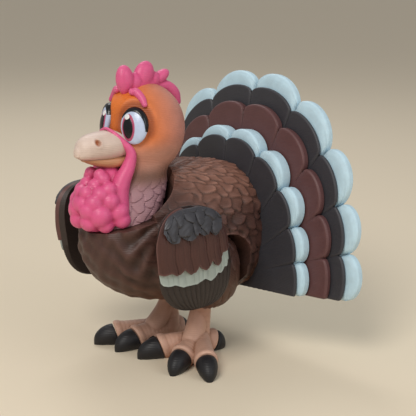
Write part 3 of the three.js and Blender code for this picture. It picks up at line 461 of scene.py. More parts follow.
# soft dents all over, as a sum of slow waves along slanted directions, and deeper folds at the wing's front
dents = sum(size * np.sin(p @ np.array(way) + phase) for size, way, phase in (
    (0.3, (17, 9, 23), 0.4), (0.26, (-21, 14, 13), 2.1), (0.22, (9, -27, 19), 1.2), (0.18, (31, 22, -14), 0.7)))
beside = (np.exp(-((np.abs(p[..., 0]) - 0.62) / 0.15) ** 2) * ease((-0.3 - p[..., 1]) / 0.25)
          * ease((0.6 - p[..., 2]) / 0.2) * ease((p[..., 2] + 0.75) / 0.2))
lumpy = body["dent"] * dents + body["fold"] * beside * np.sin(20 * p[..., 2] + 3 * np.sin(14 * p[..., 0]))
swell = field * strength * body["relief"] - 0.8 * strength + lumpy
rings = rings + unit(rings) * swell[..., None] + body["centre"]
trunk = meshObject("body_feathered", [skinned(rings)])

# The well for the neck as (radius, height) steps, a flat for the fan, and the sockets
wellSteps = [(0, 0), (19.9, 0), (22.2, 2.7), (25.5, 7.6), (29, 13.7), (33.4, 16), (39.5, 20), (46, 30), (0, 30)]
fanFace = fanPlaced((np.array([0, 0, fan["front"] + fan["gap"]]), None))[0]
fanSlot = fanPlaced((np.array([0, fan["pegUp"], fan["front"]]), None))[0]


def fanTongue(low, high, grown):
    # the flat tongue that plugs the fan into the trunk, grown by a clearance
    halfX, halfY = (half + grown for half in fan["pegHalf"])
    return cutter(block(fanSlot, fanAxes, (-halfX, -halfY, low), (halfX, halfY, high)))


tools = [
    cutter(block(fanFace, fanAxes, (-120, -120, -240), (120, 240, 0))),
    cutter(lathe(wellSteps, neckAxis, seat, 90)),
    cutter(block(seat, [[1, 0, 0], neckAhead, neckAxis], (-120, 0, 0), (120, 120, 120))),
    cutter(lathe(pegProfile(neck, snapRoom, 1.2), -neckAxis, neckFoot)),
    fanTongue(-1, fan["pegLength"] + fan["gap"], fan["gap"]),
]
wingPegShape = lathe(pegProfile(wing, snapRoom, 0.8), (-1, 0, 0), wing["peg"])
for sign in (1, -1):
    tools.append(cutter(mirrored(sweptRecess(), sign)))
    tools.append(cutter(hipPeg(sign, snapRoom)))
    tools.append(cutter(wingPlaced(wingPegShape, sign)))
carve(trunk, tools)
dress(trunk, "trunk", "body_brown", ["body"], 50, 5, 0.22, [
    # painted light: the upper back, towards the rear, lighter and warmer as if lit from above
    (lambda q: ease((q[:, 2] - 74) / 22) * ease((q[:, 1] + 30) / 30) * 0.9, "#835A4A"),
    # painted warm bounce light from the floor on the lower body
    (lambda q: ease((56 - q[:, 2]) / 22) * 0.9, "#573622"),
    # painted shade inside the hip recesses
    (lambda q: 0.9 * inRecess(q), "#2E1D18")])
print("body made", len(trunk.data.polygons))

# Head: rings of the neck with its ruff of scales, then rings where the skull and the neck melt together

cranium = {"centre": (0, -20.5, 121.5), "halfWidth": 18.8, "front": 22.6, "rear": 20.4, "halfHeight": 22.5,
           "blend": 1.3}
ruff = {"columns": 16, "pitch": 4.6, "relief": 1.3, "top": 22.0}
# each as (rise, backset, radius, share of the neck's lean)
neckStations = [(0, 0, 18.6, 1), (4, 1.4, 18.3, 0.8), (8, 3, 17.6, 0.6), (12, 4.7, 16.9, 0.4),
                (16, 6.3, 16, 0.2), (20.5, 8, 15, 0)]
# half as (width, height), parts as (half width, half height, towards the beak, up)
eye = {"azimuth": 35, "elevation": 12, "facing": 28, "half": (6.9, 8.9), "bulge": 2.9, "sink": 1.8, "room": 0.08,
       "tilt": 6, "iris": (3.5, 6.5, 2.2, -0.9), "pupil": (2.8, 5.3, 2.3, -1.1), "glint": (1.4, 1.4, 2.7, 4.2)}


def eyeFrame(sign):
    # place and axes (across the face, up, out of the eye) of an eye on the cranium
    turn, facing, lift, tilt = (math.radians(eye[key]) for key in ("azimuth", "facing", "elevation", "tilt"))

    def towards(angle):
        level = math.cos(lift)
        return np.array([sign * math.sin(angle) * level, -math.cos(angle) * level, math.sin(lift)])

    placeWay, out = towards(turn), towards(facing)
    side = unit(np.cross([0, 0, 1], out))
    high = np.cross(out, side)
    half = np.array([cranium["halfWidth"], cranium["front"], cranium["halfHeight"]])
    place = np.array(cranium["centre"]) + placeWay * (1 / np.linalg.norm(placeWay / half) - eye["sink"])
    across = side * math.cos(tilt) + high * math.sin(tilt) * sign
    return place, np.array([across, np.cross(out, across), out])


eyeFrames = {sign: eyeFrame(sign) for sign in (1, -1)}


def nearEye(points):
    # distance from the nearer eye's middle, 1 at the rim of its ball, and how far up it is
    best, high = np.full(points.shape[:-1], 9.0), np.zeros(points.shape[:-1])
    for place, axes in eyeFrames.values():
        local = (points - place) @ axes.T
        d = np.hypot(local[..., 0] / eye["half"][0], local[..., 1] / eye["half"][1])
        d = np.where(local[..., 2] < -7, 9, d)
        high = np.where(d < best, local[..., 1] / eye["half"][1], high)
        best = np.minimum(best, d)
    return best, high


neckRows, headRows, headSides = 92, 140, 300
u = np.arange(headSides) * 2 * math.pi / headSides
stations = through(neckStations, neckRows)
rise, backset, radius, share = (stations[:, k:k + 1] for k in range(4))
lean = leanAngle * share
ruffRise = (ruff["top"] - rise) / ruff["pitch"] + 0.12 * np.sin(5 * u)
ruffShare = u[None] / (2 * math.pi) * ruff["columns"] + 0.14 * np.sin(2 * u + rise)
ruffField = scales(np.broadcast_to(ruffRise, ruffShare.shape), ruffShare, 1.8, 0.3)
ruffFade = ease((21 - rise) / 10) * ease((rise + 0.6) / 1.4)
ruffRadius = radius + ruff["relief"] * (ruffField - 0.45) * ruffFade
centreY = neck["seat"][1] + backset
neckRings = np.stack([np.cos(u) * ruffRadius, centreY + np.sin(u) * ruffRadius * np.cos(lean),
                      neck["seat"][2] + rise + np.sin(u) * ruffRadius * np.sin(lean)], -1)
neckRings[0] += neckAxis * neck["gap"]
lowest = neck["seat"][2] + neckStations[-1][0]
phi = np.linspace(math.asin((lowest - cranium["centre"][2]) / cranium["halfHeight"]), math.pi / 2 - 0.03,
                  headRows)[1:, None]
z = cranium["centre"][2] + cranium["halfHeight"] * np.sin(phi)
middleY = np.interp(z, [101, 105.5, 111.5, 121.5], [-26, -24.5, -23, -20.5])
neckRadius = np.interp(z, [101, 105.5, 111.5, 118], [15, 14.2, 12.6, 6])


def skullRadius(deep):
    # from the ring's middle along each direction to the ellipse of the skull at that height
    across = cranium["halfWidth"] * np.cos(phi)
    ahead = deep * np.cos(phi)
    off = (middleY - cranium["centre"][1]) / ahead
    ca, sa = np.cos(u) / across, np.sin(u) / ahead
    k2, k1, k0 = ca**2 + sa**2, sa * off, off**2 - 1
    inside = k1**2 - k2 * k0
    return np.where(inside > 0, (-k1 + np.sqrt(np.maximum(inside, 0))) / k2, 0)


rearRadius = skullRadius(cranium["rear"])
atRear = middleY + np.sin(u) * rearRadius > cranium["centre"][1]
skull = np.where(atRear, rearRadius, skullRadius(cranium["front"]))
k = cranium["blend"]
# the wider of skull and neck, softly: k x log(exp(skull / k) + exp(neck / k)), and the skull alone over the neck
headRadius = np.log(np.exp(skull / k) + np.exp(neckRadius / k)) * k
clear = ease((z - 112) / 6)
headRadius = headRadius * (1 - clear) + np.maximum(skull, 0.05) * clear
headRings = np.stack([np.cos(u) * headRadius, middleY + np.sin(u) * headRadius, z + 0 * u], -1)
rings = np.vstack([neckRings[:-1], headRings])
d, high = nearEye(rings)  # a shallow bowl round each eye, a lid over it, and a dip between the eyes
bowl = 1.2 * np.exp(-((d - 1.0) / 0.3) ** 2)
lid = 0.8 * np.exp(-((d - 1.42) / 0.2) ** 2) * ease(high + 0.4)
nose = 3.2 * np.exp(-(np.abs(rings[..., 0]) / 8) ** 3 - ((rings[..., 2] - 125) / 8.5) ** 4)
nose *= ease((-32 - rings[..., 1]) / 6)
rings = rings + unit(rings - [0, -21.5, 116]) * (lid - bowl - nose)[..., None]
head = meshObject("head_feathered", [skinned(rings)])
tools = []
for place, axes in eyeFrames.values():
    half = [eye["half"][0] + eye["room"], eye["half"][1] + eye["room"], eye["bulge"]]
    ball = eggAlong(sphereGrid(40, 64)[0], (0, 0, 0), [half] * 2)
    points, faces = skinned(ball)
    tools.append(cutter((points @ axes + place, faces)))
carve(head, tools)
carve(head, [cutter(lathe(pegProfile(neck, 0, 1.2), -neckAxis, neckFoot))], "UNION")
dress(head, "head", "head_orange", ["head_shell"], 50, 5, 0.2, [
    (lambda q: ease((q[:, 1] + 36) / 26), "#CB8B7B"),
    (lambda q: ease((121 - q[:, 2]) / 11) * ease((q[:, 1] + 52) / 10) * 0.9, "#CE9682"),
    (lambda q: ease((109 - q[:, 2]) / 9), "#7A5546"),
    (lambda q: ease((100.5 - q[:, 2]) / 8), "#A87F86"),
    (lambda q: ease((99 - q[:, 2]) / 9) * ease((q[:, 1] + 24) / 14) * 0.7, "#A98398"),
    # painted shade: a darker orange ring round each eye socket
    (lambda q: 0.85 * np.exp(-((nearEye(q)[0] - 1.15) / 0.26) ** 2) * ease((q[:, 2] - 116) / 6), "#A04C22")])
print("head made", len(head.data.polygons))

# Eyes: patches of the eyeball's skin, each raised a little over the one behind it


def eyePatch(outline, raised, deep=1.2, rows=14, sides=56):
    # an ellipse on the eyeball's skin, puffed by raised x sqrt(1.02 - share^4) from its middle to its rim
    halfWidth, halfHeight, aside, upward = outline
    share = np.linspace(0.02, 1, rows)[:, None]
    turn = np.arange(sides) * 2 * math.pi / sides
    x = aside + halfWidth * share * np.cos(turn)
    y = upward + halfHeight * share * np.sin(turn)
    level = eye["bulge"] * np.sqrt(np.clip(1 - (x / eye["half"][0]) ** 2 - (y / eye["half"][1]) ** 2, 0.0, 1))
    front = np.stack([x, y, level + raised * np.sqrt(np.clip(1.02 - share**4, 0, 1))], -1)
    rear = np.stack([x, y, level - deep], -1)
    return skinned(np.concatenate([front, rear[::-1]]))


def lashBand(sign, rows=10, columns=60):
    # a band over the top and outer side of the eyeball, widest over the top and thin at both ends
    turn = np.linspace(math.radians(150), math.radians(-22), columns)
    share = np.linspace(0, 1, rows)[:, None]
    width = 0.27 * np.sin(np.linspace(0.25, math.pi - 0.1, columns)) ** 0.7 + 0.02
    reach = 1.02 - width * (1 - share)
    x = eye["half"][0] * reach * np.cos(turn) * sign
    y = eye["half"][1] * reach * np.sin(turn)
    level = eye["bulge"] * np.sqrt(np.clip(1 - reach**2, 0, 1)) * np.ones_like(x)
    lift = 0.4 * np.sqrt(np.clip(1 - (2 * share - 1) ** 4, 0, 1)) + 0.08
    return slab(np.stack([x, y, level + lift], -1), np.stack([x, y, level - 0.8], -1))


eyeParts = (("iris", "eye_crimson", 0.1), ("pupil", "eye_black", 0.2), ("glint", "eye_glint", 0.4))
for side, sign in (("left", 1), ("right", -1)):
    place, axes = eyeFrames[sign]

    def aimed(shape, axes=axes, place=place):
        return shape[0] @ axes + place, shape[1]

    ball = eggAlong(sphereGrid(48, 72)[0], (0, 0, 0), [[*eye["half"], eye["bulge"]]] * 2)
    dress(meshObject("eyeball_" + side, [aimed(skinned(ball))]), "head", "eye_white", ["eye_white_" + side])
    for part, slot, raised in eyeParts:
        halfWidth, halfHeight, aside, upward = eye[part]
        patch = eyePatch((halfWidth, halfHeight, -sign * aside, upward), raised)
        dress(meshObject(part + "_" + side, [aimed(patch)]), "head", slot, [f"eye_{part}_{side}"])
    dress(meshObject("lash_" + side, [aimed(lashBand(sign))]), "head", "eye_black", ["eye_lash_" + side])
print("eyes made")

# Beak: ovals from the root to the tip as (y, z, half width, height over z, height under z), and the nostril as
# (y, z, radius, depth)

beak = {"upper": [(-34, 116.4, 9.8, 6.8, 6.4), (-44, 116.6, 9.3, 6.3, 7.5), (-50, 116.6, 8.5, 6.1, 7.5),
                  (-55.5, 116.1, 6.9, 5.8, 6.4), (-59.8, 115, 4.7, 4.9, 4.6), (-62.0, 113.9, 2.3, 2.9, 2.4)],
        "lower": [(-34, 108.9, 8.7, 4, 4), (-43, 108.6, 7.9, 3.7, 3.7), (-49, 109, 6.5, 3.2, 3.2),
                  (-54.5, 110, 4.5, 2.4, 2.4), (-58.3, 111, 2.4, 1.6, 1.6)],
        "nostril": (-54.3, 118.7, 1.15, 1.5), "sink": 1.5, "gap": 0.12}


def beakHalf(stations, grown=0.0, count=110, sides=120):
    # ovals along a curve through the stations, flatter below, then a rounded tip of radius sqrt(1 - t^2)
    curve = through(np.array(stations) + [0, 0, grown, grown, grown], count)
    last = curve[-1]
    t = np.linspace(0, 0.98, 9)[1:]
    shares = np.sqrt(1 - t**2)
    nose = np.stack([last[0] - last[2] * 0.45 * t, 0 * t + last[1] - 0.1, last[2] * shares, last[3] * shares,
                     last[4] * shares], -1)
    y, z, halfWidth, over, under = (np.vstack([curve, nose])[:, k:k + 1] for k in range(5))
    turn = np.arange(sides) * 2 * math.pi / sides
    s, c = np.sin(turn), np.cos(turn)
    full = np.where(s < 0, 0.8, 1.0)
    across = np.sign(c) * np.abs(c) ** full * halfWidth
    rise = np.sign(s) * np.abs(s) ** full * np.where(s > 0, over, under)
    return np.stack([across, y + 0 * turn, z + rise], -1)


noseY, noseZ, noseR, noseDepth = beak["nostril"]


def nearNostril(points):
    # distance from the nostril's middle, seen from the side
    return np.hypot(points[..., 1] - noseY, (points[..., 2] - noseZ) / 1.15)


upper = beakHalf(beak["upper"])
near = nearNostril(upper)
upper = upper + unit(upper - [0, -50, 116]) * (
    0.22 * np.exp(-((near - noseR * 1.5) / 0.6) ** 2) - noseDepth * np.exp(-(near / noseR) ** 4))[..., None]
upperBeak = meshObject("beak_upper_smooth", [skinned(upper)])


def skullCutter(grown):
    # the cranium's egg, grown by an amount
    half = np.array([cranium["halfWidth"], 0, cranium["halfHeight"]]) + grown
    low, tall = half.copy(), half.copy()
    low[1], tall[1] = cranium["front"] + grown, cranium["rear"] + grown
    return cutter(skinned(eggAlong(sphereGrid(60, 96)[0], cranium["centre"], (low, tall))))


carve(upperBeak, [skullCutter(-beak["sink"])])
dress(upperBeak, "head", "beak_cream", ["beak_upper"], 50, 5, 0.3, [
    (lambda q: ease((113 - q[:, 2]) / 3) * 0.35, "#C99C80"),
    (lambda q: ease((-52 - q[:, 1]) / 10) * 0.4, "#E4D0C4"),
    (lambda q: np.exp(-(nearNostril(q) / (noseR * 1.15)) ** 4) * 0.95, "#B8683A")])
lowerBeak = meshObject("beak_lower_smooth", [skinned(beakHalf(beak["lower"]))])
carve(lowerBeak, [skullCutter(-beak["sink"]), cutter(skinned(beakHalf(beak["upper"], beak["gap"])))])
dress(lowerBeak, "head", "beak_tan", ["beak_lower"], 50, 5, 0.3)
print("beak made")

# Comb, brows, snood and wattle: overlapping soft shapes melted into one skin

# lobes as (y, z, half width, half depth, half height, degrees back), tubes and paired balls as (x, y, z, radius)
# and balls in the middle as (y, z, radius)
comb = {"sink": 1.0,
        "lobes": [(-32.8, 146, 3.9, 4.7, 7.4, -8), (-21.4, 147.05, 4, 5.6, 7.9, 26),
                  (-10.8, 146, 3.1, 3, 6.2, 62), (-23, 143.4, 3.6, 13, 5.2, -3),
                  (-27.6, 144, 3.9, 5.2, 5.4, 0), (-15.6, 145.2, 3.3, 4.6, 4.2, 30)],
        "crest": [(0, -14.5, 142.2, 2.4), (0, -7, 141.2, 3), (0, -1.9, 137.6, 3.1), (0, 0.3, 133, 2.2)]}
brow = [(5.8, -33, 141, 1.7), (7.6, -31.8, 140.7, 2), (10.6, -31, 138.1, 1.8), (12.8, -31.2, 135.4, 1.4)]
snood = [(0, -44.6, 124.0, 0.9), (4.8, -43.6, 122.0, 1.2), (8.8, -41, 117.8, 1.6), (10.9, -38.2, 112.4, 2.5),
         (10.4, -39.6, 106, 3.3), (9.2, -42.8, 99, 4.3), (8.9, -44.8, 92, 5.1), (9.8, -45, 85, 5.2)]
wattle = {"middle": [(-44, 99.5, 7.4), (-49.6, 92, 7.8), (-51.6, 84.4, 8), (-49.2, 79.6, 8), (-55, 90, 6.5)],
          "swell": 0.25,
          "pairs": [(1, -58.7, 89.3, 4.7), (4, -58.6, 80.9, 4.4), (8, -54.9, 84.2, 5.8), (12, -47, 85.4, 4.7),
                    (13.4, -46.1, 81.4, 3.9), (9, -52.8, 79.6, 4), (2, -58.4, 94.6, 3.2),
                    (3, -54.2, 97.8, 3.2), (5, -50.8, 100.7, 3.2), (3.6, -51.6, 102.8, 2.8),
                    (7, -54.1, 94, 3.9), (8.6, -50.2, 96, 3.7), (10, -50.6, 90.6, 4.4),
                    (4.4, -58.4, 86.4, 4.9), (6, -57, 90, 4.4)]}


def ballAt(centre, half, backDeg=0):
    # an ellipsoid leaning back about X by an angle
    points, faces = skinned(eggAlong(sphereGrid(30, 44)[0], (0, 0, 0), [half] * 2))
    c, s = math.cos(math.radians(backDeg)), math.sin(math.radians(backDeg))
    return points @ np.array([[1, 0, 0], [0, c, -s], [0, s, c]]) + centre, faces


lobes = [ballAt((0, y, z), (w, deep, h), lean) for y, z, w, deep, h, lean in comb["lobes"]]
combPiece = melted(meshObject("comb_lobes", lobes + [tube(comb["crest"], 50, 40)]), 4)
carve(combPiece, [skullCutter(-comb["sink"])])
dress(combPiece, "head", "flesh_pink", ["comb"], 60, 8, 0.2)
for side, sign in (("left", 1), ("right", -1)):
    dress(meshObject("brow_roll_" + side, [mirrored(tube(brow, 60, 40), sign)]), "head", "flesh_pink",
          ["brow_" + side], 60)
pairs = np.array(wattle["pairs"]) + [0, 0, 0, wattle["swell"]]
shells = [ballAt((0, y, z), (r, r, r)) for y, z, r in wattle["middle"]]
for sign in (1, -1):
    shells += [ballAt((sign * x, y, z), (r, r, r)) for x, y, z, r in pairs]
    shells.append(mirrored(tube(snood, 90, 40), sign))
wattlePiece = melted(meshObject("snood_and_wattle", shells), 22)
carve(wattlePiece, [cutter(block(neckFoot, [[1, 0, 0], neckAhead, neckAxis], (-90, -90, -90), (90, 90, 0)))])
dress(wattlePiece, "head", "flesh_pink", ["snood_wattle"], 60, 8, 0.22)
print("comb and wattle made", len(combPiece.data.polygons), len(wattlePiece.data.polygons))

# Wings: layers over one dome. A layer's lower edge is listed as (rearward, up) from the front to the rear, and
# its sides as heights with the front and the rear shares of the dome's half depth there.

wingLayers = {
    "primaries": {"rows": 120, "columns": 240, "edge": None,
                  "sides": ((-26, -14, -8, -2, 26), (-1, -0.99, -0.965, -0.93, -0.93), (1, 1, 1, 1, 1))},
    "band": {"rows": 90, "columns": 260,
             "edge": [(-22.2, -3.6), (-21.5, -5.9), (-19.6, -9.3), (-16.5, -10.1), (-13.4, -9.7), (-9.2, -11.5),
                      (-4.9, -11.3), (-1.2, -11.4), (3.8, -9.6), (7.3, -11.5), (10.7, -10), (11.7, -8.1),
                      (14.3, -8.8), (16.2, -6.1), (18.3, -6.2), (18.9, -3)],
             "sides": ((-12, -3.5, -1, 26), (-0.97, -0.965, -0.9, -0.9), (0.83, 0.83, 0.83, 0.83))},
    "coverts": {"rows": 120, "columns": 280,
                "edge": [(-23.2, -0.1), (-22.2, -3.4), (-20.1, -4), (-16.6, -3.2), (-13.7, -4.9), (-11.6, -4.3),
                         (-9.8, -2.2), (-6.1, -5.5), (-3, -4.7), (-1.2, -1.6), (0.8, -3.9), (3, -4.9),
                         (5.4, -3.9), (7.1, -0.4), (9, -3.4), (10.4, -4.1), (13, -2.5), (13.8, 1.9),
                         (16.4, 2.1), (18.9, 3.6)],
                "sides": ((-5, 2, 12, 16, 24), (-0.99, -0.99, -0.985, -0.98, -0.98),
                          (0.85, 0.85, 0.865, 0.85, 0.9))},
    "cap": {"rows": 110, "columns": 260,
            "edge": [(-21, 16.6), (-19.1, 13.2), (-16.9, 11.5), (-13.7, 11.7), (-12.6, 14.4), (-9.5, 12.2),
                     (-6.9, 11.6), (-4.2, 12.7), (-2.9, 15.1), (0.4, 12.9), (2.3, 13), (3.9, 15), (7.6, 11.8),
                     (10.2, 12.5), (12, 16.5), (13, 19.3)],
            "sides": ((12, 17, 19, 23, 26), (-0.93, -0.93, -0.95, -1, -1), (0.75, 0.78, 0.87, 0.96, 1))},
}
coverts = {"boundaries": (0, 0.2, 0.385, 0.6, 0.79, 0.93, 1.0001), "relief": 0.95, "grooves": 3, "groove": 0.14}


def wingShape(name, outer, below):
    # A layer's skin stands over the dome by its own height, from (rearward, up, share across, roundness). Its
    # underside rests on the layers below and drops past their rim at its own. The first layer's is flat.
    layer = wingLayers[name]
    halfHeight, power = wing["halfHeight"], wing["power"]
    heights, fronts, rears = layer["sides"]

    def width(up):
        return wing["halfDepth"] * (1 - np.clip(np.abs(up) / halfHeight, 0, 0.9995) ** power) ** (1 / power)

    s = np.linspace(0, 1, layer["columns"])
    t = np.linspace(0, 1, layer["rows"])[:, None]
    top = 0.997 * halfHeight
    if layer["edge"] is None:
        up = top * np.sin((t - 0.5) * math.pi) + 0 * s
    else:
        edge = np.array(layer["edge"])
        c = (edge[:, 0] - wing["skew"] * edge[:, 1]) / width(edge[:, 1])
        front, rear = np.interp(edge[:, 1], heights, fronts), np.interp(edge[:, 1], heights, rears)
        low = np.interp(s, (c - front) / (rear - front), edge[:, 1])
        low = np.convolve(np.pad(low, 3, "edge"), np.array([1, 2, 3, 4, 3, 2, 1]) / 16, "valid")
        up = low + (top - low) * np.sin(t * math.pi / 2)
    across = np.interp(up, heights, fronts) * (1 - s) + np.interp(up, heights, rears) * s
    y = across * width(up) + wing["skew"] * up
    tall = (np.abs(up) / halfHeight) ** power
    roundness = np.clip(np.abs(across) ** power * (1 - tall) + tall, 0, 1) ** (1 / power)
    dome = wing["rim"] + wing["dome"] * np.sqrt(np.clip(1 - roundness**2, 0, 1))
    if below is None:
        rest = 0 * dome
    else:
        drop = wing["step"] * ease((roundness - 0.93) / 0.03) * (below > 0)
        rest = dome + (below * wing["step"] + wing["gap"] - drop)
    under = y - wing["undercut"] * width(up) * np.sign(across) * ease((np.abs(across) - 0.75) / 0.25)
    return slab(np.stack([dome + outer(y, up, across, roundness), y, up], -1), np.stack([rest, under, up], -1))


def primaryHeight(y, up, across, roundness):
    # flutes between feathers, |sin|^0.6, that fade towards the top and the rim
    flute = np.abs(np.sin(14 * math.pi * (across + 1) / 2)) ** 0.6 - 1
    return 0.5 * flute * ease((-2 - up) / 6) * ease((1 - roundness) / 0.03 + 0.3)


def bandHeight(y, up, across, roundness):
    # shallower flutes with a slight waver, that fade upwards
    flute = np.abs(np.sin(13 * math.pi * (across + 1) / 2 + 0.9 * np.sin(9 * across))) ** 0.6 - 1
    return wing["step"] + 0.32 * flute * ease((1 - up) / 4)


def covertHeight(y, up, across, roundness):
    # a pillow sqrt(1 - (2q - 1)^2) between one feather's boundary and the next, with fine grooves along it
    share = (across + 1 + 0.012 * np.sin(up / 2.1)) / 2
    bounds = np.array(coverts["boundaries"])
    k = np.clip(np.searchsorted(bounds, share, "right") - 1, 0, len(bounds) - 2)
    q = (share - bounds[k]) / (bounds[k + 1] - bounds[k])
    pillow = np.sqrt(np.clip(1 - (2 * q - 1) ** 2, 0, 1)) - 0.6
    groove = -np.exp(-((q * coverts["grooves"]) % 1 - 0.5) ** 2 / 0.02)
    return 2 * wing["step"] + ease((16 - up) / 5) * (coverts["relief"] * pillow + coverts["groove"] * groove)


def capHeight(y, up, across, roundness):
    # shaggy scales that hang down and fade at the rim
    waver = 0.12 * np.sin(y / 3.1 + up / 4.3) + 0.1 * np.sin(y / 1.7 - up / 2.6)
    field = scales((28 - up) / 5.8 + waver, y / 6.4 - waver, 1.75, 0.3)
    return 3 * wing["step"] + 0.1 + 2.3 * (field - 0.35) * ease((1.02 - roundness) / 0.12)


# slot, height, layers below and depth of a full hollow's painted shade
wingParts = {
    "primaries": ("feather_charcoal", primaryHeight, None, 0.12),
    "band": ("feather_pale", bandHeight, 0, 0.12),
    "coverts": ("wing_brown", covertHeight, 1, 0.18),
    "cap": ("wing_cap_grey", capHeight, 2, 0.3),
}
for side, sign in (("left", 1), ("right", -1)):
    for name, (slot, outer, below, depth) in wingParts.items():
        piece = meshObject(f"wing_{name}_{side}_shell", [wingPlaced(wingShape(name, outer, below), sign)])
        tint = ()
        if name == "primaries":
            peg = wingPlaced(lathe(pegProfile(wing, 0, 0.6), (-1, 0, 0), wing["peg"]), sign)
            carve(piece, [cutter(peg)], "UNION")
            tint = [(lambda q: np.ones(len(q)), "#302724")]
        dress(piece, side + "_wing", slot, [f"wing_{name}_{side}"], 45, 5, depth, tint)
print("wings made")

# Legs: a scaled thigh, a shank and toes with rings of wrinkles, and a smooth claw on each toe

# The instep is a tube of (ahead of the ankle, z, radius), a toe's tip is (x, y), and toes that aren't plain ones
# have a share of the plain size and a share of its claw's length.
shank = {"top": (14.2, 5.5, 36), "radius": 5.3, "waist": 5.0, "ankleZ": 11, "rootZ": 7.6,
         "rows": 90, "length": 29, "wrinkle": 0.22, "pitch": 2.2, "gap": 0.3,
         "instep": [(0.4, 23, 4.7), (2.6, 18, 5.2), (6, 13.6, 5.4), (10, 10, 5.2)]}
toe = {"root": 5.6, "rootHeight": 15.2, "endHalfWidth": 6, "endHeight": 12.4, "slant": -2.2, "under": 1.0,
       "wrinkle": 0.26, "pitch": 2.0, "collar": 0.35, "tuck": 0.7,
       "clawLength": 12.2, "clawHalfWidth": 5.5, "clawHeight": 10.8, "clawTip": 2.2}
feet = {
    "left": {"sign": 1, "ankle": (12.4, 4.6), "toes": {"inner": (-2.4, -25.4), "middle": (27, -27.2),
                                                      "outer": (45.6, -18.4), "hind": (15.6, 20.4)}},
    "right": {"sign": -1, "ankle": (-12.6, 5.2), "toes": {"outer": (-34.4, -29.6), "middle": (-17.6, -28.2),
                                                         "small": (-8.8, -14.2), "hind": (-15.6, 20.4)}},
}
toeShares = {"hind": (0.94, 0.62), "small": (0.62, 1)}


def thighEgg(sign, grown, relief):
    # the thigh's egg, grown by an amount, its skin lifted by scales
    p, u, v = sphereGrid(150, 260)
    waver = 0.12 * np.sin(3 * u + 5 * v) + 0.08 * np.sin(8 * u - 3 * v)
    field = scales(v / math.pi * thigh["rows"] + waver, u / (2 * math.pi) * thigh["columns"] + waver,
                   1.75, 0.28)
    rings = eggAlong(p, (0, 0, 0), [np.array(thigh["half"]) + grown] * 2, thigh["power"])
    swell = relief * (field - 0.6) * ease(np.sin(v) / 0.4)
    return skinned(rings + unit(rings) * swell[..., None] + [sign * thigh["x"], hip["y"], hip["z"]])


def ovalRings(ankle, along, distance, halfWidth, low, high, lean, sides=56):
    # upright ovals across a toe's line, each leaning back along it by an amount that grows with height
    turn = np.arange(sides) * 2 * math.pi / sides
    aside = np.array([-along[1], along[0]])
    distance, halfWidth, high, lean = (np.asarray(a)[:, None] for a in (distance, halfWidth, high, lean))
    reach = distance - lean * np.sin(turn)
    plan = np.asarray(ankle) + reach[..., None] * along + (np.cos(turn) * halfWidth)[..., None] * aside
    z = (low + high) / 2 + np.sin(turn) * (high - low) / 2
    return np.concatenate([plan, z[..., None]], -1)


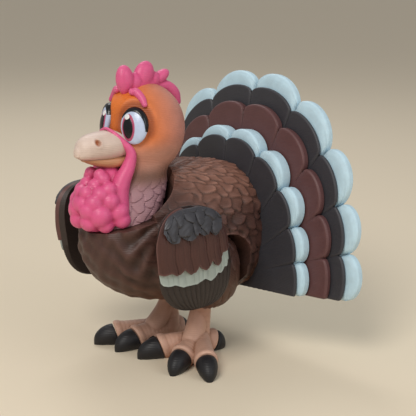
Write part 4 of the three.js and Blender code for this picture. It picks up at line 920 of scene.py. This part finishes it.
for side, footing in feet.items():
    sign, ankle = footing["sign"], footing["ankle"]
    drumstick = meshObject("thigh_scaled_" + side, [thighEgg(sign, 0, thigh["relief"])])
    inward = block((0, 0, 0), np.eye(3), (-60, -60, -60), (hip["pegX"], 60, 140))
    carve(drumstick, [cutter(mirrored(inward, sign))])
    carve(drumstick, [cutter(hipPeg(sign, 0))], "UNION")
    dress(drumstick, side + "_leg", "body_brown", ["thigh_" + side], 50, 5, 0.2,
          # painted warm bounce light from the floor on the lower thigh
          [(lambda q: ease((58 - q[:, 2]) / 24) * 0.8, "#5A3B2A")])
    topX, topY, topZ = shank["top"]
    column = through([(sign * topX, topY, topZ, shank["radius"]),
                      ((sign * topX + ankle[0]) / 2, topY, (topZ + shank["ankleZ"]) / 2, shank["waist"]),
                      (*ankle, shank["ankleZ"] + 1, shank["radius"] + 0.5),
                      (ankle[0], ankle[1] - 1, shank["rootZ"], shank["radius"] + 0.8)], shank["rows"])
    down = np.linspace(0, shank["length"], shank["rows"])
    column[:, 3] += shank["wrinkle"] * (np.abs(np.sin(math.pi * down / shank["pitch"])) - 0.5)
    shells = [tube(column, shank["rows"], 48)]
    middle = np.array(footing["toes"]["middle"]) - ankle
    ahead = middle / np.hypot(*middle)
    shells.append(tube([(*(ankle + ahead * along), z, r) for along, z, r in shank["instep"]], 60, 40))
    for name, tip in footing["toes"].items():
        size, clawShare = toeShares.get(name, (1, 1))
        length = math.dist(tip, ankle)
        along = (np.array(tip) - ankle) / length
        clawLength = toe["clawLength"] * size * clawShare
        end = length - clawLength
        d = np.linspace(0, end - 0.3, max(30, int(end / 0.3)))
        stops = [0, end * 0.45, end * 0.8, end - 0.3]
        wrinkle = toe["wrinkle"] * (np.abs(np.sin(math.pi * (end - d) / toe["pitch"])) ** 0.7 - 0.6)
        wrinkle *= ease((end - 1 - d) / 2.5)
        collar = toe["collar"] * np.exp(-((end - 2.2 - d) / 1.3) ** 2)
        collar -= toe["tuck"] * ease((d - end + 1.3) / 1.2)
        root, wide = toe["root"], toe["endHalfWidth"]
        halfWidth = np.interp(d, stops, np.array([root, root, wide * 0.94, wide]) * size) + wrinkle + collar
        root, tall = toe["rootHeight"], toe["endHeight"]
        high = np.interp(d, stops, np.array([root, tall, tall * 0.97, tall]) * size) + wrinkle + collar
        lean = np.interp(d, stops, [0, 0, toe["slant"] * 0.7, toe["slant"]])
        shells.append(skinned(ovalRings(ankle, along, d, halfWidth, -toe["under"], high, lean)))
        s = np.sin(np.linspace(0, 1, 40) * math.pi / 2) * 0.998
        width = toe["clawHalfWidth"] * np.sqrt(1 - s**2.2) * size
        arch = (toe["clawTip"] + (toe["clawHeight"] - toe["clawTip"]) * np.sqrt(1 - s**1.7)) * size
        claw = ovalRings(ankle, along, end + s * clawLength, width, -toe["under"], arch, toe["slant"] * (1 - s))
        claw[..., 2] = np.maximum(claw[..., 2], 0)
        dress(meshObject(f"claw_{name}_{side}_shell", [skinned(claw)]), side + "_leg", "claw_black",
              [f"claw_{name}_{side}"])
    flesh = melted(meshObject("foot_ringed_" + side, shells), 3)
    ground = block((0, 0, 0), np.eye(3), (-90, -90, -20), (90, 90, 0))
    carve(flesh, [cutter(thighEgg(sign, shank["gap"], 0)), cutter(ground)])
    dress(flesh, side + "_leg", "foot_tan", ["foot_" + side], 60, 6, 0.16, [
        # painted warm bounce light from the floor low on the foot
        (lambda q: ease((4.5 - q[:, 2]) / 4) * 0.7, "#B07353"),
        (lambda q: ease((q[:, 2] - 13) / 10) * 0.5, "#A87862")])
print("legs made")

# Tail fan: scalloped plates with rolled edges. Radius = valley x (1 + rise) + swell + lobe x share x bulge,
# less dip x (1 - bulge), where bulge = sqrt(1 - across^2) and the rise grows with the sine of the angle to the
# powers 2 and 4. Shares are listed from the bottom feather to the top one, and dips from the bottom edge to the
# middle seam.

fanPlates = {
    "fan_outer_tips": {"slot": "feather_white", "valley": 80.8, "lobe": 9.1, "thick": 5.7, "edge": 2.4,
                       "roll": 5.5, "forward": 0, "swell": (0, 0), "shares": (0.5, 0.68, 0.95, 1, 1),
                       "dips": (3.9, 3.9, 4.3, 2.3, 0.8, 0.5),
                       "crease": 1.4, "creaseWidth": 0.8, "creaseReach": 13},
    "fan_outer_bars": {"slot": "feather_charcoal", "valley": 78.7, "lobe": 3.8, "thick": 1.8, "edge": 0.8,
                       "roll": 1.2, "forward": 0, "swell": (-0.4, 0), "shares": (0.15, 0.45, 0.9, 1, 1),
                       "dips": (3, 3.1, 2.1, 1.5, 1.1, 0.9),
                       "crease": 0.75, "creaseWidth": 0.5, "creaseReach": 15},
    "fan_vanes": {"slot": "fan_brown", "valley": 69.8, "lobe": 3.2, "thick": 3, "edge": 1.2,
                  "roll": 1.6, "forward": 1.2, "swell": (0.9, 2.6), "shares": (0.1, 0.7, 1, 1.1, 1.2),
                  "dips": (2, 3, 3.8, 3.8, 2.6, 1.8),
                  "crease": 0.9, "creaseWidth": 0.55, "creaseReach": 16},
    "fan_inner_tips": {"slot": "feather_white", "valley": 59.6, "lobe": 6.2, "thick": 5.7, "edge": 2.4,
                       "roll": 4.5, "forward": 4.2, "swell": (0.3, 0.3), "shares": (0.1, 0.4, 0.9, 1, 1),
                       "dips": (3.4, 3.6, 4.2, 3.4, 2, 1.6),
                       "crease": 1.2, "creaseWidth": 0.7, "creaseReach": 10},
    "fan_inner_bars": {"slot": "feather_charcoal", "valley": 57.1, "lobe": 3.2, "thick": 1.8, "edge": 0.8,
                       "roll": 1.2, "forward": 4.2, "swell": (0.2, 1.4), "shares": (0, 0.3, 0.9, 1, 1),
                       "dips": (1.6, 2, 1.8, 1.4, 1.2, 1.2),
                       "crease": 0.75, "creaseWidth": 0.5, "creaseReach": 30},
}
firstEdge = math.radians(fan["firstEdge"])
pitch = (math.pi - 2 * firstEdge) / fan["feathers"]


def plateShape(plate, backZ, behind):
    # a plate on backZ: towards the top its front comes forward by its own amount, and its back by that of the
    # plate behind
    steps = fan["steps"]
    k = np.arange(fan["feathers"] * steps + 1)
    feather = np.minimum(k // steps, fan["feathers"] - 1)
    across = -np.cos((k - feather * steps) / steps * math.pi)
    turn = firstEdge + (feather + (across + 1) / 2) * pitch
    share = np.array(plate["shares"])[np.minimum(feather, fan["feathers"] - 1 - feather)]
    tall = 1 + fan["rise"][0] * np.sin(turn) ** 2 + fan["rise"][1] * np.sin(turn) ** 4
    valley = plate["valley"] * tall + np.interp(np.sin(turn), [0.2, 1], plate["swell"])
    seam = (turn - firstEdge) / pitch
    dip = np.interp(np.minimum(seam, fan["feathers"] - seam), range(6), plate["dips"])
    bulge = np.sqrt(np.clip(1 - across**2, 0, 1))
    rim = valley + plate["lobe"] * share * bulge - dip * (1 - bulge)
    hub = fan["hubHalfWidth"] * math.tan(firstEdge) / np.sin(turn)
    nearRim = 0.7 + 0.3 * np.sin(np.linspace(0, math.pi / 2, 60))
    f = np.concatenate([np.linspace(0, 0.7, 18)[:-1], nearRim])[:, None]
    r = hub + (rim - hub) * f
    flat = np.stack([r * np.cos(turn), r * np.sin(turn)], -1)
    outline = flat[-1]
    edges = np.vstack([outline, flat[::2, 0], flat[::2, -1]])
    depth = np.min([np.hypot(*(flat - e).transpose(2, 0, 1)) for e in edges], axis=0)
    depth[-1] = 0

    def rolled(height, reach):
        # a quarter round from the flat down to the edge: height x (1 - sqrt(1 - (1 - depth / reach)^2))
        return height * (1 - np.sqrt(np.clip(1 - np.clip(1 - depth / reach, 0, 1) ** 2, 0, 1)))

    seam = np.round(seam)
    inside = (seam > 0) & (seam < fan["feathers"])
    fromSeam = r * np.sin(turn - firstEdge - seam * pitch)
    fade = ease((r - valley + plate["creaseReach"]) / plate["creaseReach"])
    crease = plate["crease"] * np.exp(-(fromSeam / plate["creaseWidth"]) ** 2) * fade * inside
    lifted = np.clip(flat[..., 1] / 76, 0, 1.1)
    crown = backZ + plate["thick"] - rolled(plate["edge"], plate["roll"]) - crease + plate["forward"] * lifted
    back = backZ + rolled(plate["edge"] * 0.5, plate["edge"]) + 0.2 * crease + behind * lifted
    crown = np.maximum(crown, back + 0.3)
    return slab(np.concatenate([flat, crown[..., None]], -1), np.concatenate([flat, back[..., None]], -1))


backZ, behind = fan["back"], 0
for name, plate in fanPlates.items():
    piece = meshObject(name + "_plate", [fanPlaced(plateShape(plate, backZ, behind))])
    if name == "fan_inner_bars":
        carve(piece, [fanTongue(-0.9, fan["pegLength"] - 0.6, 0)], "UNION")
    dress(piece, "trunk", plate["slot"], [name], 50, 4, 0.2)
    backZ, behind = backZ + plate["thick"] + fan["gap"], plate["forward"]
print("fan made")

# Stage, light and camera

# each lamp as (place, size, watts, colour), in metres
stage = {"floor": "#E4D6BE", "floorRoughness": 0.9, "world": 0.4, "aim": (0, 0, 0.08),
         "lamps": {"key": ((0.35, -0.75, 0.85), 0.5, 6.9, (1, 0.97, 0.92)),
                   "fill": ((0.9, 0.1, 0.5), 0.6, 1.8, (0.95, 0.97, 1)),
                   "rim": ((-0.6, 0.3, 0.9), 0.5, 2.1, (1, 1, 1))}}
for name, (place, size, watts, colour) in stage["lamps"].items():
    lamp = bpy.data.lights.new(name, "AREA")
    lamp.shape, lamp.size, lamp.energy, lamp.color = "DISK", size, watts, colour
    holder = bpy.data.objects.new(name, lamp)
    holder.location = place
    holder.rotation_euler = (Vector(stage["aim"]) - Vector(place)).to_track_quat("-Z", "Y").to_euler()
    bpy.context.collection.objects.link(holder)

world = bpy.data.worlds.new("soft room")
bpy.context.scene.world = world
world.use_nodes = True
world.node_tree.nodes.clear()
glow = addNode(world.node_tree, "ShaderNodeBackground", Color=(1, 1, 1, 1), Strength=stage["world"])
addNode(world.node_tree, "ShaderNodeOutputWorld", Surface=glow.outputs[0])

floorMesh = bpy.data.meshes.new("floor")
floorMesh.from_pydata([(-8, -8, 0), (8, -8, 0), (8, 8, 0), (-8, 8, 0)], [], [(0, 1, 2, 3)])
floor = bpy.data.objects.new("floor", floorMesh)
bpy.context.collection.objects.link(floor)
floorMaterial = bpy.data.materials.new("matt paper")
floorMaterial.use_nodes = True
paper = floorMaterial.node_tree.nodes["Principled BSDF"]
paper.inputs["Base Color"].default_value = linear(stage["floor"])
paper.inputs["Roughness"].default_value = stage["floorRoughness"]
floorMesh.materials.append(floorMaterial)

# the camera that was fitted to the photo: place and lens in mm, angles in degrees
view = {"place": (371.33, -325.67, 198.61), "azimuth": 46.8505, "pitch": 13.7855, "roll": 0.2977,
        "lens": 84.715}
camera = bpy.data.objects.new("camera", bpy.data.cameras.new("camera"))
bpy.context.collection.objects.link(camera)
azimuth, pitchDown, roll = (math.radians(view[key]) for key in ("azimuth", "pitch", "roll"))
level = math.cos(pitchDown)
back = Vector((math.sin(azimuth) * level, -math.cos(azimuth) * level, math.sin(pitchDown)))
right = Vector((math.cos(azimuth), math.sin(azimuth), 0))
up = back.cross(right)
turnedRight = right * math.cos(roll) + up * math.sin(roll)
turnedUp = up * math.cos(roll) - right * math.sin(roll)
pose = Matrix((turnedRight, turnedUp, back)).transposed().to_4x4()
pose.translation = Vector(view["place"]) * mm
camera.matrix_world = pose
camera.data.lens, camera.data.sensor_width = view["lens"], 36
bpy.context.scene.camera = camera
bpy.context.scene.view_settings.view_transform = "Standard"
print("stage, light and camera set")
